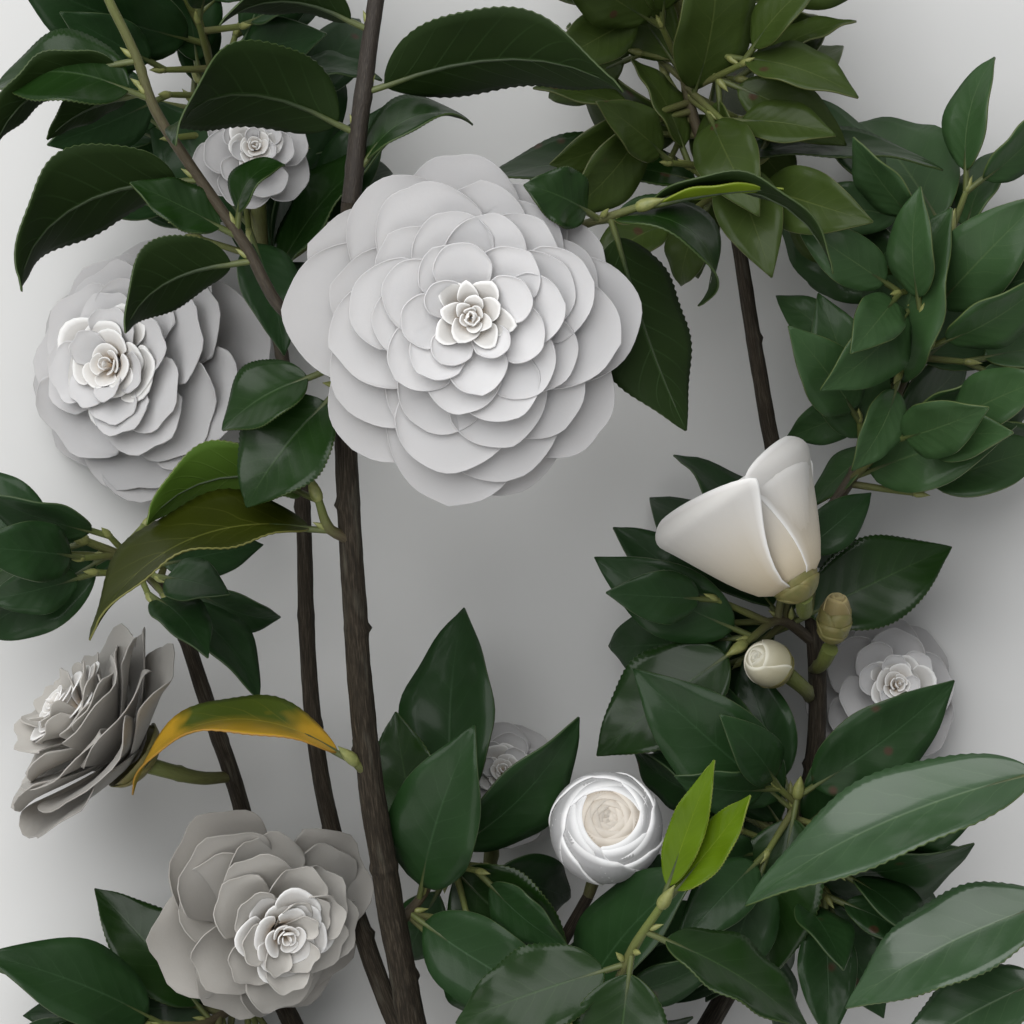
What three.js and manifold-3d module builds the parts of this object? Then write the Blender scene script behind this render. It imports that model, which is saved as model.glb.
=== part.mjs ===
// A camellia branch, as cut, lying on its back with its white formal double blooms facing up.
// Millimetres. +Y runs from the cut end to the tips and +Z is up. The points below are measured
// from a place under the main bloom's lower edge, and the whole is moved at the end so that the
// origin is the middle of its underside.
// Each limb is one tapering solid, each spray is one twig with its leaves fused on, and each
// bloom is a core with its petals fused on.
import * as THREE from 'three';
import { mergeVertices } from 'three/addons/utils/BufferGeometryUtils.js';
import Module from 'manifold-3d';

const wasm = await Module();
wasm.setup();

// Driving dimensions
const gap = 0.3; // air left where one piece meets another
const leafThickness = 0.02; // of the blade's length, at the midrib
const leafFold = 0.16; // how far the halves of a blade rise, of its half width
const petioleLength = 6;
const petioleRadius = 0.9;
const floorClearance = 0.6; // lowest a leaf may hang
const bladeSteps = 24; // steps that a blade's midrib is worked out in
const bladeStations = { near: [0, 6, 12, 18], far: [0, 8, 17] }; // the steps that get a section
const petalStations = [0, 0.45, 0.8, 1]; // shares of a petal's length that get a section
const petalThickness = 0.013; // of the petal's length
const stalkRadius = [1.6, 2.4];
const goldenAngle = 137.508;
const leafRoom = { other: 7, same: 4.5 }; // kept between points of leaves on other and same sprays

const colours = {
  bark: 0x4a3a33,
  leaf: 0x1f3d1c,
  youngLeaf: 0x7fa32a,
  goldLeaf: 0xb9922c,
  petal: 0xf1eff0,
  agedPetal: 0xe9dfcf,
};

// Limbs: the main stem, then the boughs that fork from it near its foot.
// The points are the middle of the wood, and the radius goes from the first to the second.
const limbs = {
  main_stem: {
    radius: [4.4, 2.5],
    steps: 16,
    sides: 10,
    path: [[-14, -235, 5.2], [-20, -190, 24], [-27.5, -141, 50], [-35.5, -90, 72], [-40, -50, 86],
      [-43, 8, 104], [-43, 45, 111], [-41.7, 80, 115.5]],
  },
  bough_left_inner: {
    radius: [2.9, 1.9],
    steps: 12,
    sides: 8,
    path: [[-24.5, -160, 40], [-40, -122, 37], [-51, -84, 38], [-56, -48, 42], [-58, 6, 46], [-61, 30, 45]],
  },
  bough_left_outer: {
    radius: [3.2, 2],
    steps: 12,
    sides: 8,
    path: [[-17.5, -208, 16], [-46, -172, 18], [-68, -130, 23], [-75, -86, 30], [-86, -50, 36],
      [-94, -24, 41]],
  },
  bough_bud: {
    radius: [2.3, 1.6],
    steps: 8,
    sides: 6,
    path: [[-21, -184, 27], [-6, -152, 35], [11, -124, 43], [21, -106, 47]],
  },
  bough_right: {
    radius: [3.4, 2],
    steps: 14,
    sides: 8,
    path: [[-15.5, -220, 11.5], [22, -190, 17], [58, -140, 24], [82, -84, 30], [84, -30, 36], [71, 24, 44],
      [62, 76, 50]],
  },
  bough_shoot: {
    radius: [2.2, 1.6],
    steps: 8,
    sides: 6,
    path: [[-18.5, -198, 21], [-6, -176, 52], [13, -150, 88], [27, -124, 112]],
  },
  bough_right_front: {
    radius: [2.8, 1.9],
    steps: 12,
    sides: 8,
    path: [[-16.5, -212, 15], [26, -210, 44], [84, -192, 88], [124, -158, 118], [139, -124, 131]],
  },
};

// Sprays: a twig, and the leaves on it. A leaf is
// [where on the twig, heading, pitch, length, width, bend, roll, swerve, twist],
// with angles in degrees: heading turns left from +X, pitch lifts it, bend arches its tip down
// from its face, roll leans its face to its right, and swerve and twist come in along its length.
// Seeded leaves are added between two places on the twig, inside the spray's own box.
const sprays = {
  spray_top: {
    joins: 'main_stem',
    twig: { radius: [2.5, 1.8], sides: 6, path: [[-41.7, 80, 115.5], [-38.5, 107, 119], [-35, 131, 122],
      [-31, 150, 124], [-27, 166, 125]] },
    leaves: [
      [0.06, 56, 10, 34, 20, 100, -60, 0, 0],
      [0.16, 152, 8, 62, 33, 112, 138, 0, 0],
      [0.26, 20, 6, 70, 34, 66, -128, 0, 0],
      [0.42, 152, 4, 38, 20, 80, 116, 0, 0],
      [0.66, 20, 10, 52, 24, 60, -70, 0, 0],
      [0.8, 130, 20, 50, 24, 50, 40, 0, 0],
      [0.92, 62, 12, 46, 22, 45, -30, 0, 0],
      [1, 105, 30, 38, 17, 35, 20, 0, 0],
    ],
  },
  spray_upper_left: {
    joins: 'main_stem',
    twig: { radius: [1.7, 1.1], sides: 5, path: [[-43, 43, 111], [-59, 52, 118], [-68.7, 68.7, 121],
      [-82.6, 89, 124], [-91.4, 103, 126], [-96.4, 117, 127], [-104, 133, 128], [-109, 147, 128]] },
    leaves: [
      [0.255, 186, 0, 38, 26, 84, 130, 0, 0],
      [0.3, 152, 20, 26, 14, 10, 30, 0, 0],
      [0.31, 84, 30, 20, 13, 110, -60, 0, 0],
      [0.4, 182, 0, 60, 33, 100, 128, 0, 0],
      [0.6, 158, 16, 38, 26, 74, 40, 0, 0],
      [0.62, 190, -14, 24, 13, 50, 122, 0, 0],
      [0.7, 186, -6, 44, 20, 84, 116, 0, 0],
      [0.86, 40, 10, 40, 19, 50, -60, 0, 0],
      [0.97, 150, 8, 42, 20, 40, 60, 0, 0],
      [1, 96, 20, 34, 16, 30, 10, 0, 0],
    ],
  },
  spray_upper_right: {
    joins: 'main_stem',
    twig: { radius: [1.5, 1], sides: 5, path: [[-42.3, 60, 113], [-16, 66, 112], [8, 71, 117], [22, 75, 122],
      [32, 78, 125]] },
    leaves: [
      [0.76, 150, 50, 20, 16, 60, 20, 0, 0],
      [0.72, 10, 14, 46, 21, 150, -58, 0, 0],
      [0.96, 22, 0, 58, 18, 104, -100, 0, 0],
      [1, 12, 6, 32, 9, 14, -104, 0, 0],
      [0.82, -74, -12, 53, 30, 20, 152, 0, 0],
    ],
  },
  spray_bloom_left: {
    joins: 'main_stem',
    twig: { radius: [1.6, 1.2], sides: 5, path: [[-43, 31, 108.5], [-47.5, 37, 112]] },
    leaves: [
      [1, 200, 6, 27, 22, 40, 40, 0, 0],
      [0.3, 226, 12, 35, 28, 36, 26, 0, 0],
    ],
  },
  spray_mid_left: {
    joins: 'main_stem',
    twig: { radius: [1.6, 1.1], sides: 5, path: [[-43, -7, 101], [-48, -4, 104], [-50.5, 3, 106]] },
    leaves: [
      [1, 152, -30, 49, 24, 108, 118, 0, 0],
      [0.4, 172, 8, 70, 34, 72, 66, 38, 0],
    ],
  },
  spray_gold: {
    joins: 'main_stem',
    colour: colours.goldLeaf,
    twig: { radius: [1.6, 1.2], sides: 5, path: [[-37.5, -71, 79.5], [-41.5, -67, 83]] },
    leaves: [
      [1, 148, 6, 70, 22, 112, 66, 0, 0],
    ],
  },
  spray_shoot: {
    joins: 'bough_shoot',
    colour: colours.youngLeaf,
    twig: { radius: [1.6, 1], sides: 5, path: [[27, -124, 112], [31.5, -112, 120], [38, -101, 127]] },
    leaves: [
      [1, 72, 14, 35, 10, 10, -20, 0, 0],
      [1, 50, 10, 32, 12, -14, -30, 0, 0],
      [0.45, 262, 6, 40, 26, 20, 10, 0, 0],
      [0.3, 196, 4, 42, 24, 30, 20, 0, 0],
      [0.7, -22, 4, 46, 22, 35, -50, 0, 0],
    ],
  },
  spray_right_front: {
    joins: 'bough_right_front',
    twig: { radius: [1.9, 1.2], sides: 5, path: [[139, -124, 131], [142, -94, 141], [137, -64, 147]] },
    leaves: [
      [1, 194, 2, 83, 27, 40, 42, 0, 0],
      [0.46, 198, 6, 61, 25, 44, 34, 0, 0],
      [0.12, 202, 6, 44, 22, 40, 34, 0, 0],
      [0.96, 66, 4, 50, 24, 40, -30, 0, 0],
    ],
  },
  spray_left_inner: {
    joins: 'bough_left_inner',
    twig: { radius: [1.9, 1], sides: 4, path: [[-61, 30, 45], [-66, 56, 47], [-72, 84, 50], [-80, 112, 53],
      [-86, 136, 54]] },
    leaves: [
      [0.3, 60, 30, 50, 24, 30, -60, 0, 0],
    ],
    seeded: { seed: 11, from: 0.35, to: 1, count: 9, box: [[-150, 30, 4], [-30, 175, 96]] },
  },
  spray_left_outer: {
    joins: 'bough_left_outer',
    twig: { radius: [2, 1.1], sides: 4, path: [[-94, -24, 41], [-104, -14, 50], [-116, -8, 58]] },
    leaves: [
      [1, 196, 0, 46, 24, 40, 40, 0, 0],
    ],
    seeded: { seed: 12, from: 0.3, to: 1, count: 6, box: [[-150, -60, 4], [-60, 20, 90]] },
  },
  spray_left_low: {
    joins: 'bough_left_outer',
    twig: { radius: [1.6, 1], sides: 4, path: [[-68, -130, 23], [-84, -142, 34], [-100, -142, 44]] },
    leaves: [
      [0.5, 128, 6, 44, 22, 30, 20, 0, 0],
    ],
    seeded: { seed: 13, from: 0.3, to: 1, count: 7, box: [[-150, -190, 1], [-52, -100, 80]] },
  },
  spray_stem_low: {
    joins: 'main_stem',
    twig: { radius: [1.6, 1], sides: 4, path: [[-31, -112, 63], [-24, -104, 56], [-16, -88, 52]] },
    leaves: [
      [0.6, 104, 10, 42, 26, 20, -20, 0, 0],
      [0.8, -44, 10, 42, 30, 24, 20, 0, 0],
    ],
    seeded: { seed: 14, from: 0.2, to: 1, count: 5, box: [[-50, -150, 8], [20, -20, 84]] },
  },
  spray_bud: {
    joins: 'bough_bud',
    twig: { radius: [1.5, 1], sides: 4, path: [[-2, -145, 37], [8, -140, 50], [20, -138, 60]] },
    leaves: [],
    seeded: { seed: 15, from: 0.2, to: 1, count: 7, box: [[-14, -190, 2], [70, -90, 86]] },
  },
  spray_right_low: {
    joins: 'bough_right',
    twig: { radius: [1.8, 1], sides: 4, path: [[70, -112, 27], [76, -96, 42], [78, -78, 56]] },
    leaves: [
      [1, 258, 6, 46, 26, 20, 20, 0, 0],
    ],
    seeded: { seed: 16, from: 0.1, to: 1, count: 9, box: [[30, -180, 1], [150, -40, 100]] },
  },
  spray_right_mid: {
    joins: 'bough_right',
    twig: { radius: [1.7, 1], sides: 4, path: [[84, -36, 35.5], [74, -30, 44], [64, -36, 52]] },
    leaves: [
      [1, 214, 4, 46, 28, 26, 20, 0, 0],
      [0.34, 26, -8, 46, 26, 12, -14, 0, 0],
    ],
    seeded: { seed: 17, from: 0.2, to: 1, count: 8, box: [[20, -74, 1], [112, 20, 90]] },
  },
  spray_right_side: {
    joins: 'bough_right',
    twig: { radius: [1.9, 1], sides: 4, path: [[82.5, -8, 39], [98, 16, 42], [112, 46, 45], [120, 76, 48]] },
    leaves: [],
    seeded: { seed: 18, from: 0.25, to: 1, count: 10, box: [[72, 0, 1], [165, 140, 92]] },
  },
  spray_right_top: {
    joins: 'bough_right',
    twig: { radius: [1.9, 1], sides: 4, path: [[62, 76, 50], [53, 98, 53], [47, 120, 55], [46, 142, 56]] },
    leaves: [
      [0.2, 165, 8, 62, 28, 40, 60, 0, 0],
      [0.3, 12, 8, 60, 18, 40, -60, 0, 0],
    ],
    seeded: { seed: 19, from: 0.3, to: 1, count: 7, box: [[-20, 60, 1], [110, 200, 96]] },
  },
};

// Blooms: the limb or twig and the stalk that carry one, where its back is, the way that it
// faces, its radius and depth, how many petals it has, and the turn of their spiral.
const blooms = {
  bloom_main: {
    joins: 'main_stem',
    stalk: [[-42.8, 36, 109.5], [-30, 42, 111], [-17, 47, 115.5]],
    back: [-10.5, 50.2, 123], faces: [0.01, -0.06, 1], radius: 46.5, depth: 26, petals: 37, turn: 40,
    // azimuth in degrees and reach of the two outer rings, in the order that they overlap
    outer: [[28, 38], [156, 44.5], [283, 47], [63, 37], [178, 48], [318, 45], [96, 42], [228, 45.5],
      [358, 43.5], [129, 42], [263, 48], [20, 34], [167, 36], [285, 43], [55, 33], [214, 40],
      [310, 37], [86, 34], [244, 34], [350, 38], [116, 37], [261, 40], [192, 36]],
  },
  bloom_left_upper: {
    joins: 'bough_left_inner',
    stalk: [[-58.4, 14, 46], [-70, 26, 26], [-90, 38, 9]],
    back: [-101, 40, 13.4], faces: [-0.5, 0.04, 1], radius: 40, depth: 30, petals: 15, turn: 20,
  },
  bloom_left_lower: {
    joins: 'bough_left_outer',
    stalk: [[-79, -74, 32.5], [-86, -74, 38], [-94, -72, 42]],
    back: [-102.6, -68.8, 44], faces: [-0.8, 0.6, 0.3], radius: 35, depth: 32, petals: 15, turn: 80,
    rim: 0.5, cup: 1.6,
  },
  bloom_bottom: {
    joins: 'bough_left_outer',
    stalk: [[-74, -94, 28.5], [-75, -102, 33]],
    back: [-71, -109, 43], faces: [0.45, -0.3, 1], radius: 34, depth: 28, petals: 15, turn: 130,
  },
  bloom_right: {
    joins: 'bough_right',
    stalk: [[83, -17, 38], [81.5, -24, 50], [79.5, -27, 63]],
    back: [77.5, -21, 74], faces: [-0.5, 0.82, -0.08], radius: 24, depth: 36, petals: 11, turn: 10,
    rim: 0.85, cup: 2, colour: colours.agedPetal,
  },
  bloom_right_low: {
    joins: 'bough_right',
    stalk: [[84, -70, 31.5], [94, -63, 14], [102, -56, 3]],
    back: [105, -52, 8], faces: [0.2, 0.2, 1], radius: 24, depth: 20, petals: 11, turn: 50,
  },
  bloom_back_mid: {
    joins: 'bough_bud',
    stalk: [[-4, -148, 36], [-8, -120, 24], [-5, -90, 13]],
    back: [-4, -78, 18], faces: [0.1, 0.4, 1], radius: 21, depth: 18, petals: 8, turn: 0,
  },
  bloom_back_top: {
    joins: 'spray_left_inner',
    stalk: [[-68.6, 70, 48.4], [-69, 82, 58]],
    back: [-70, 95, 68], faces: [0.1, 0.2, 1], radius: 18, depth: 16, petals: 8, turn: 70,
  },
};

// The half open bloom and two buds: closed petals on a calyx, as pairs of radius and height
const globes = {
  bloom_half_open: {
    joins: 'bough_bud',
    stalk: [[21, -106, 47], [23.5, -98, 48.5]],
    back: [25, -90, 52], faces: [0.05, 0.35, 1], radius: 15, depth: 26, sides: 12,
    profile: [[0, -3], [4, -2], [10, 2], [14, 8], [15, 14], [13, 20], [8, 24.5], [0, 26]],
  },
  bud_cream: {
    joins: 'bough_right',
    stalk: [[83.2, -52, 33], [81, -49, 42]],
    back: [74.5, -44, 49], faces: [-0.6, 0.35, 0.72], radius: 6, depth: 14, sides: 8,
    profile: [[0, -3], [2.8, -2], [4.8, 1], [5.9, 6], [5, 10.5], [2.5, 13.5], [0, 14]],
  },
  bud_brown: {
    joins: 'bough_right',
    stalk: [[84, -44, 34.2], [86, -42, 41]],
    back: [88, -36, 47], faces: [0.1, 0.9, 0.42], radius: 4, depth: 15, sides: 8, colour: colours.agedPetal,
    profile: [[0, -3], [2.4, -2], [3.6, 2], [4, 7], [3.2, 11.5], [1.6, 14.2], [0, 15]],
  },
};

const radians = THREE.MathUtils.degToRad;
const vector = (point) => new THREE.Vector3(...point);

// A seeded row of numbers from 0 to 1, the same on every run
function seeded(seed) {
  let state = seed;
  return () => {
    state = (state * 1664525 + 1013904223) % 4294967296;
    return state / 4294967296;
  };
}

// A closed skin over a row of rings with the same number of points, from a flat end to a
// flat end or to a pointed tip. Every second side is split on its other diagonal, so that the
// two faces of a thin blade, whose edges are the even points, fold alike and never cross.
function skin(rings, tip) {
  const positions = [];
  const index = [];
  const count = rings[0].length;
  rings.flat().forEach((point) => positions.push(point.x, point.y, point.z));
  for (let ring = 0; ring < rings.length - 1; ring += 1) {
    for (let side = 0; side < count; side += 1) {
      const here = ring * count + side;
      const next = ring * count + ((side + 1) % count);
      if (side % 2) index.push(here, here + count, next, next, here + count, next + count);
      else index.push(here, here + count, next + count, here, next + count, next);
    }
  }
  const last = (rings.length - 1) * count;
  for (let side = 2; side < count; side += 1) index.push(1, side, (side + 1) % count);
  if (tip) {
    positions.push(tip.x, tip.y, tip.z);
    for (let side = 0; side < count; side += 1) {
      index.push(last + side, rings.length * count, last + ((side + 1) % count));
    }
  } else {
    for (let side = 2; side < count; side += 1) {
      index.push(last + 1, last + ((side + 1) % count), last + side);
    }
  }
  const geometry = new THREE.BufferGeometry();
  geometry.setAttribute('position', new THREE.Float32BufferAttribute(positions, 3));
  geometry.setIndex(index);
  return geometry;
}

function solid(geometry) {
  const merged = mergeVertices(geometry, 1e-4);
  const mesh = new wasm.Mesh({
    numProp: 3,
    vertProperties: new Float32Array(merged.attributes.position.array),
    triVerts: new Uint32Array(merged.index.array),
  });
  return new wasm.Manifold(mesh);
}

function meshOf(name, shape, material) {
  const { vertProperties, triVerts } = shape.getMesh();
  const geometry = new THREE.BufferGeometry();
  geometry.setAttribute('position', new THREE.Float32BufferAttribute(vertProperties, 3));
  geometry.setIndex([...triVerts]);
  geometry.computeVertexNormals();
  const mesh = new THREE.Mesh(geometry, material);
  mesh.name = name;
  return mesh;
}

const joined = (shapes) => shapes.reduce((whole, shape) => whole.add(shape));

// The largest piece of a shape, where a cut has left a scrap
function whole(shape) {
  return shape.decompose().sort((a, b) => b.volume() - a.volume())[0];
}

const curveOf = (path) => new THREE.CatmullRomCurve3(path.map(vector), false, 'catmullrom', 0.5);

// Wood along a curve, from one radius to the other, and grown by an extra all round
function wood({ path, radius, sides, steps }, extra = 0) {
  const curve = curveOf(path);
  const rings = [];
  const up = new THREE.Vector3(0, 0, 1);
  for (let step = 0; step <= steps; step += 1) {
    const share = step / steps;
    const along = curve.getTangent(share);
    const across = new THREE.Vector3().crossVectors(along, up).normalize();
    const lift = new THREE.Vector3().crossVectors(across, along);
    const size = THREE.MathUtils.lerp(radius[0], radius[1], share) + extra / Math.cos(Math.PI / sides);
    const middle = curve.getPoint(share).addScaledVector(along, extra * (2 * share - 1));
    const ring = [];
    for (let side = 0; side < sides; side += 1) {
      const angle = (side / sides) * 2 * Math.PI;
      ring.push(middle.clone()
        .addScaledVector(across, Math.cos(angle) * size)
        .addScaledVector(lift, Math.sin(angle) * size));
    }
    rings.push(ring);
  }
  return solid(skin(rings));
}

// Half the width of a blade at a share of its length: widest a little below the middle, with
// a drawn-out tip
const bladeHalf = (share, width) => 0.5 * width
  * Math.sin(Math.PI * share ** 0.8) ** 0.8 * (1 - 0.4 * share ** 5);

// The midrib of a leaf: for each step its point, the way to its tip, its face and its side
function midrib(base, [, heading, pitch, length, , bend, roll, swerve, twist]) {
  const turn = radians(heading);
  const lift = radians(pitch);
  const ahead = new THREE.Vector3(Math.cos(turn), Math.sin(turn), 0);
  const up = new THREE.Vector3(0, 0, 1);
  const along = ahead.clone().multiplyScalar(Math.cos(lift)).addScaledVector(up, Math.sin(lift));
  const face = ahead.clone().multiplyScalar(-Math.sin(lift)).addScaledVector(up, Math.cos(lift));
  face.applyAxisAngle(along, radians(roll));
  const point = base.clone().addScaledVector(along, petioleLength);
  const frames = [];
  for (let step = 0; step <= bladeSteps; step += 1) {
    const share = step / bladeSteps;
    const side = new THREE.Vector3().crossVectors(along, face);
    const nowAlong = along.clone().applyAxisAngle(side, radians(-bend) * share ** 1.2);
    const nowFace = face.clone().applyAxisAngle(side, radians(-bend) * share ** 1.2);
    nowAlong.applyAxisAngle(nowFace, radians(swerve) * share);
    nowFace.applyAxisAngle(nowAlong, radians(twist) * share);
    const nowSide = new THREE.Vector3().crossVectors(nowAlong, nowFace);
    frames.push({ point: point.clone(), along: nowAlong, face: nowFace, side: nowSide });
    point.addScaledVector(nowAlong, length / bladeSteps);
  }
  return frames;
}

// A leaf: a petiole rooted in the wood, and a thin folded blade with sharp edges
function leafShape(base, leaf, stations) {
  const [, , , length, width] = leaf;
  const frames = midrib(base, leaf);
  const ringAt = (middle, frame, half, thick) => [
    middle.clone().addScaledVector(frame.side, half).addScaledVector(frame.face, leafFold * half),
    middle.clone().addScaledVector(frame.face, thick * 0.5),
    middle.clone().addScaledVector(frame.side, -half).addScaledVector(frame.face, leafFold * half),
    middle.clone().addScaledVector(frame.face, -thick * 0.5),
  ];
  const rings = [ringAt(base, frames[0], petioleRadius, petioleRadius * 2)];
  stations.forEach((step) => {
    const share = step / bladeSteps;
    const half = Math.max(bladeHalf(share, width), petioleRadius);
    const thick = step === 0 ? petioleRadius * 2 : leafThickness * length * (1.3 - share);
    rings.push(ringAt(frames[step].point, frames[step], half, thick));
  });
  return solid(skin(rings, frames[bladeSteps].point));
}

// Points over a blade, to keep leaves on different sprays apart
function bladeSamples(base, leaf) {
  const frames = midrib(base, leaf);
  const samples = [];
  [4, 9, 14, 19, 24].forEach((step) => {
    const { point, side } = frames[step];
    const half = bladeHalf(step / bladeSteps, leaf[4]);
    [-0.7, 0, 0.7].forEach((share) => samples.push(point.clone().addScaledVector(side, share * half)));
  });
  return samples;
}

// The height of the bowl that a petal lies in, at a distance from the bloom's axis. Each
// petal's bowl nests in the one before, so petals overlap without touching.
const bowlHeight = (petal, distance) => petal.root
  + (petal.height - petal.root) * (distance / petal.span) ** petal.cup;

// The petals of a bloom from its back to its heart, each a golden angle on from the last
function petalsOf({ radius, depth, petals, turn, outer = [], rim = 0.14, cup = 1.35 }) {
  const list = [];
  for (let number = 0; number < petals; number += 1) {
    const share = number / (petals - 1);
    const span = radius * (1 - 0.9 * share ** 1.3);
    const [azimuth, reach] = outer[number] || [turn + number * goldenAngle, span];
    list.push({
      azimuth,
      reach,
      width: reach * (0.68 + 0.3 * share) * (1 + 0.5 * rim),
      root: 1 + depth * 0.7 * share,
      height: depth * (rim + (1.06 - rim) * Math.max(1 - (span / radius) ** 2, 0) ** 0.8),
      span,
      cup,
    });
  }
  return list;
}

const petalHalf = (share, width) => 0.5 * width * Math.sin(Math.PI * (0.05 + 0.82 * share ** 1.2)) ** 0.8;

function petalShape(frame, petal) {
  const { azimuth, reach, width } = petal;
  const turn = radians(azimuth);
  const out = frame.right.clone().multiplyScalar(Math.cos(turn)).addScaledVector(frame.top, Math.sin(turn));
  const side = new THREE.Vector3().crossVectors(frame.axis, out);
  const thick = Math.max(petalThickness * reach, 0.4);
  const at = (along, across, lift) => {
    const level = bowlHeight(petal, Math.hypot(along, across)) + lift;
    return frame.back.clone().addScaledVector(out, along).addScaledVector(side, across)
      .addScaledVector(frame.axis, level);
  };
  const rings = petalStations.map((share) => {
    const half = petalHalf(share, width);
    const along = reach * share;
    return [at(along, -half, 0), at(along, 0, thick / 2), at(along, half, 0), at(along, 0, -thick / 2)];
  });
  return solid(skin(rings));
}

function bloomFrame({ back, faces }) {
  const axis = vector(faces).normalize();
  const right = new THREE.Vector3(1, 0, 0).addScaledVector(axis, -axis.x).normalize();
  const top = new THREE.Vector3().crossVectors(axis, right);
  return { back: vector(back), axis, right, top };
}

// A turned shape on a bloom's axis: pairs of radius and height
function turned(frame, profile, sides) {
  const lathe = new THREE.LatheGeometry(profile.map((pair) => new THREE.Vector2(...pair)), sides);
  lathe.deleteAttribute('normal');
  lathe.deleteAttribute('uv');
  lathe.applyMatrix4(new THREE.Matrix4().makeBasis(frame.right, frame.axis, frame.top.clone().negate()));
  lathe.translate(...frame.back);
  return solid(lathe);
}

// A stalk runs on into the foot of its bloom's core
const stalkPath = ({ stalk, back, faces }) => [...stalk,
  vector(back).addScaledVector(vector(faces).normalize(), -2).toArray()];
const stalkShape = (bloom) => wood({ path: stalkPath(bloom), radius: stalkRadius, sides: 5, steps: 5 });

function bloomShape(bloom) {
  const frame = bloomFrame(bloom);
  const { radius, depth } = bloom;
  const core = turned(frame, [[0, -5], [0.07 * radius, -4], [0.16 * radius, 0], [0.15 * radius, depth * 0.5],
    [0.08 * radius, depth * 0.86], [0, depth * 0.92]], 6);
  const parts = petalsOf(bloom).map((petal) => petalShape(frame, petal));
  return joined([core, stalkShape(bloom), ...parts]);
}

const globeShape = (globe) => turned(bloomFrame(globe), globe.profile, globe.sides).add(stalkShape(globe));

// Whether a seeded leaf keeps to its spray's box, above the floor, and clear of the limbs, the
// blooms and the leaves of other sprays
function clear(samples, name, box, placed) {
  const low = vector(box[0]);
  const high = vector(box[1]);
  const space = new THREE.Box3(low, high);
  const inBox = samples.every((point) => space.containsPoint(point) && point.z > floorClearance);
  const offWood = samples.every((point) => woodLines.every((line) => line.name === name
    || point.distanceTo(line.point) > line.radius + 2));
  const offBlooms = samples.every((point) => bloomFrames.every(({ frame, radius, depth }) => {
    const local = point.clone().sub(frame.back);
    const height = local.dot(frame.axis);
    const distance = local.addScaledVector(frame.axis, -height).length();
    return distance > radius + 2 || height < -3 || height > depth + 3;
  }));
  const offLeaves = placed.every((other) => {
    const room = other.name === name ? leafRoom.same : leafRoom.other;
    return samples.every((point) => other.samples.every((sample) => sample.distanceTo(point) > room));
  });
  return inBox && offWood && offBlooms && offLeaves;
}

// Seeded leaves stand out of the twig in turn, left and right, and lean with their own jitter
function seededLeaves(spray) {
  const { seed, from, to, count } = spray.seeded;
  const curve = curveOf(spray.twig.path);
  const random = seeded(seed);
  const between = (low, high) => low + (high - low) * random();
  const list = [];
  for (let number = 0; number < count * 6; number += 1) {
    const where = from + (to - from) * ((number % count) / Math.max(count - 1, 1));
    const tangent = curve.getTangent(where);
    const along = THREE.MathUtils.radToDeg(Math.atan2(tangent.y, tangent.x));
    const hand = number % 2 ? 1 : -1;
    const heading = along + hand * between(22, 82);
    const pitch = between(-32, 44);
    const length = between(42, 60);
    const width = length * between(0.46, 0.56);
    const bend = between(20, 62);
    const roll = -hand * between(-20, 70);
    list.push([where, heading, pitch, length, width, bend, roll, 0, 0]);
  }
  return list;
}

const woodLines = [];
function addLine(name, { path, radius }) {
  const curve = curveOf(path);
  const count = 10 * (path.length - 1);
  for (let step = 0; step <= count; step += 1) {
    const size = THREE.MathUtils.lerp(radius[0], radius[1], step / count);
    woodLines.push({ name, point: curve.getPoint(step / count), radius: size });
  }
}

Object.entries(limbs).forEach(([name, limb]) => addLine(name, limb));
Object.entries(sprays).forEach(([name, spray]) => addLine(name, spray.twig));
Object.entries({ ...blooms, ...globes }).forEach(([name, bloom]) => {
  addLine(name, { path: stalkPath(bloom), radius: stalkRadius });
});
const bloomFrames = Object.values({ ...blooms, ...globes })
  .map((bloom) => ({ frame: bloomFrame(bloom), ...bloom }));

// The leaves set by hand come first, and then the seeded ones that find room
function placeLeaves() {
  const placed = [];
  for (const [name, { twig, leaves }] of Object.entries(sprays)) {
    const curve = curveOf(twig.path);
    leaves.forEach((leaf) => {
      const base = curve.getPoint(leaf[0]);
      placed.push({ name, leaf, base, samples: bladeSamples(base, leaf), stations: bladeStations.near });
    });
  }
  for (const [name, spray] of Object.entries(sprays).filter((entry) => entry[1].seeded)) {
    const curve = curveOf(spray.twig.path);
    let room = spray.seeded.count;
    seededLeaves(spray).forEach((leaf) => {
      const base = curve.getPoint(leaf[0]);
      const samples = bladeSamples(base, leaf);
      if (room > 0 && clear(samples, name, spray.seeded.box, placed)) {
        placed.push({ name, leaf, base, samples, stations: bladeStations.far });
        room -= 1;
      }
    });
  }
  return placed;
}

const group = new THREE.Group();
const materialOf = (color, roughness) => new THREE.MeshStandardMaterial({ color, roughness, metalness: 0 });

for (const [name, limb] of Object.entries(limbs)) {
  let shape = wood(limb);
  if (name !== 'main_stem') shape = whole(shape.subtract(wood(limbs.main_stem, gap)));
  group.add(meshOf(name, shape, materialOf(colours.bark, 0.85)));
}

const placed = placeLeaves();
for (const [name, spray] of Object.entries(sprays)) {
  const twig = { ...spray.twig, steps: 2 * (spray.twig.path.length - 1) };
  const parts = [wood(twig)];
  placed.filter((entry) => entry.name === name).forEach(({ base, leaf, stations }) => {
    parts.push(leafShape(base, leaf, stations));
  });
  const shape = whole(joined(parts).subtract(wood(limbs[spray.joins], gap)));
  group.add(meshOf(name, shape, materialOf(spray.colour ?? colours.leaf, 0.4)));
}

const woodOf = { ...limbs };
Object.entries(sprays).forEach(([name, { twig }]) => {
  woodOf[name] = { ...twig, steps: 8 };
});
const clearOf = (shape, name) => whole(shape.subtract(wood(woodOf[name], gap)));

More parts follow.
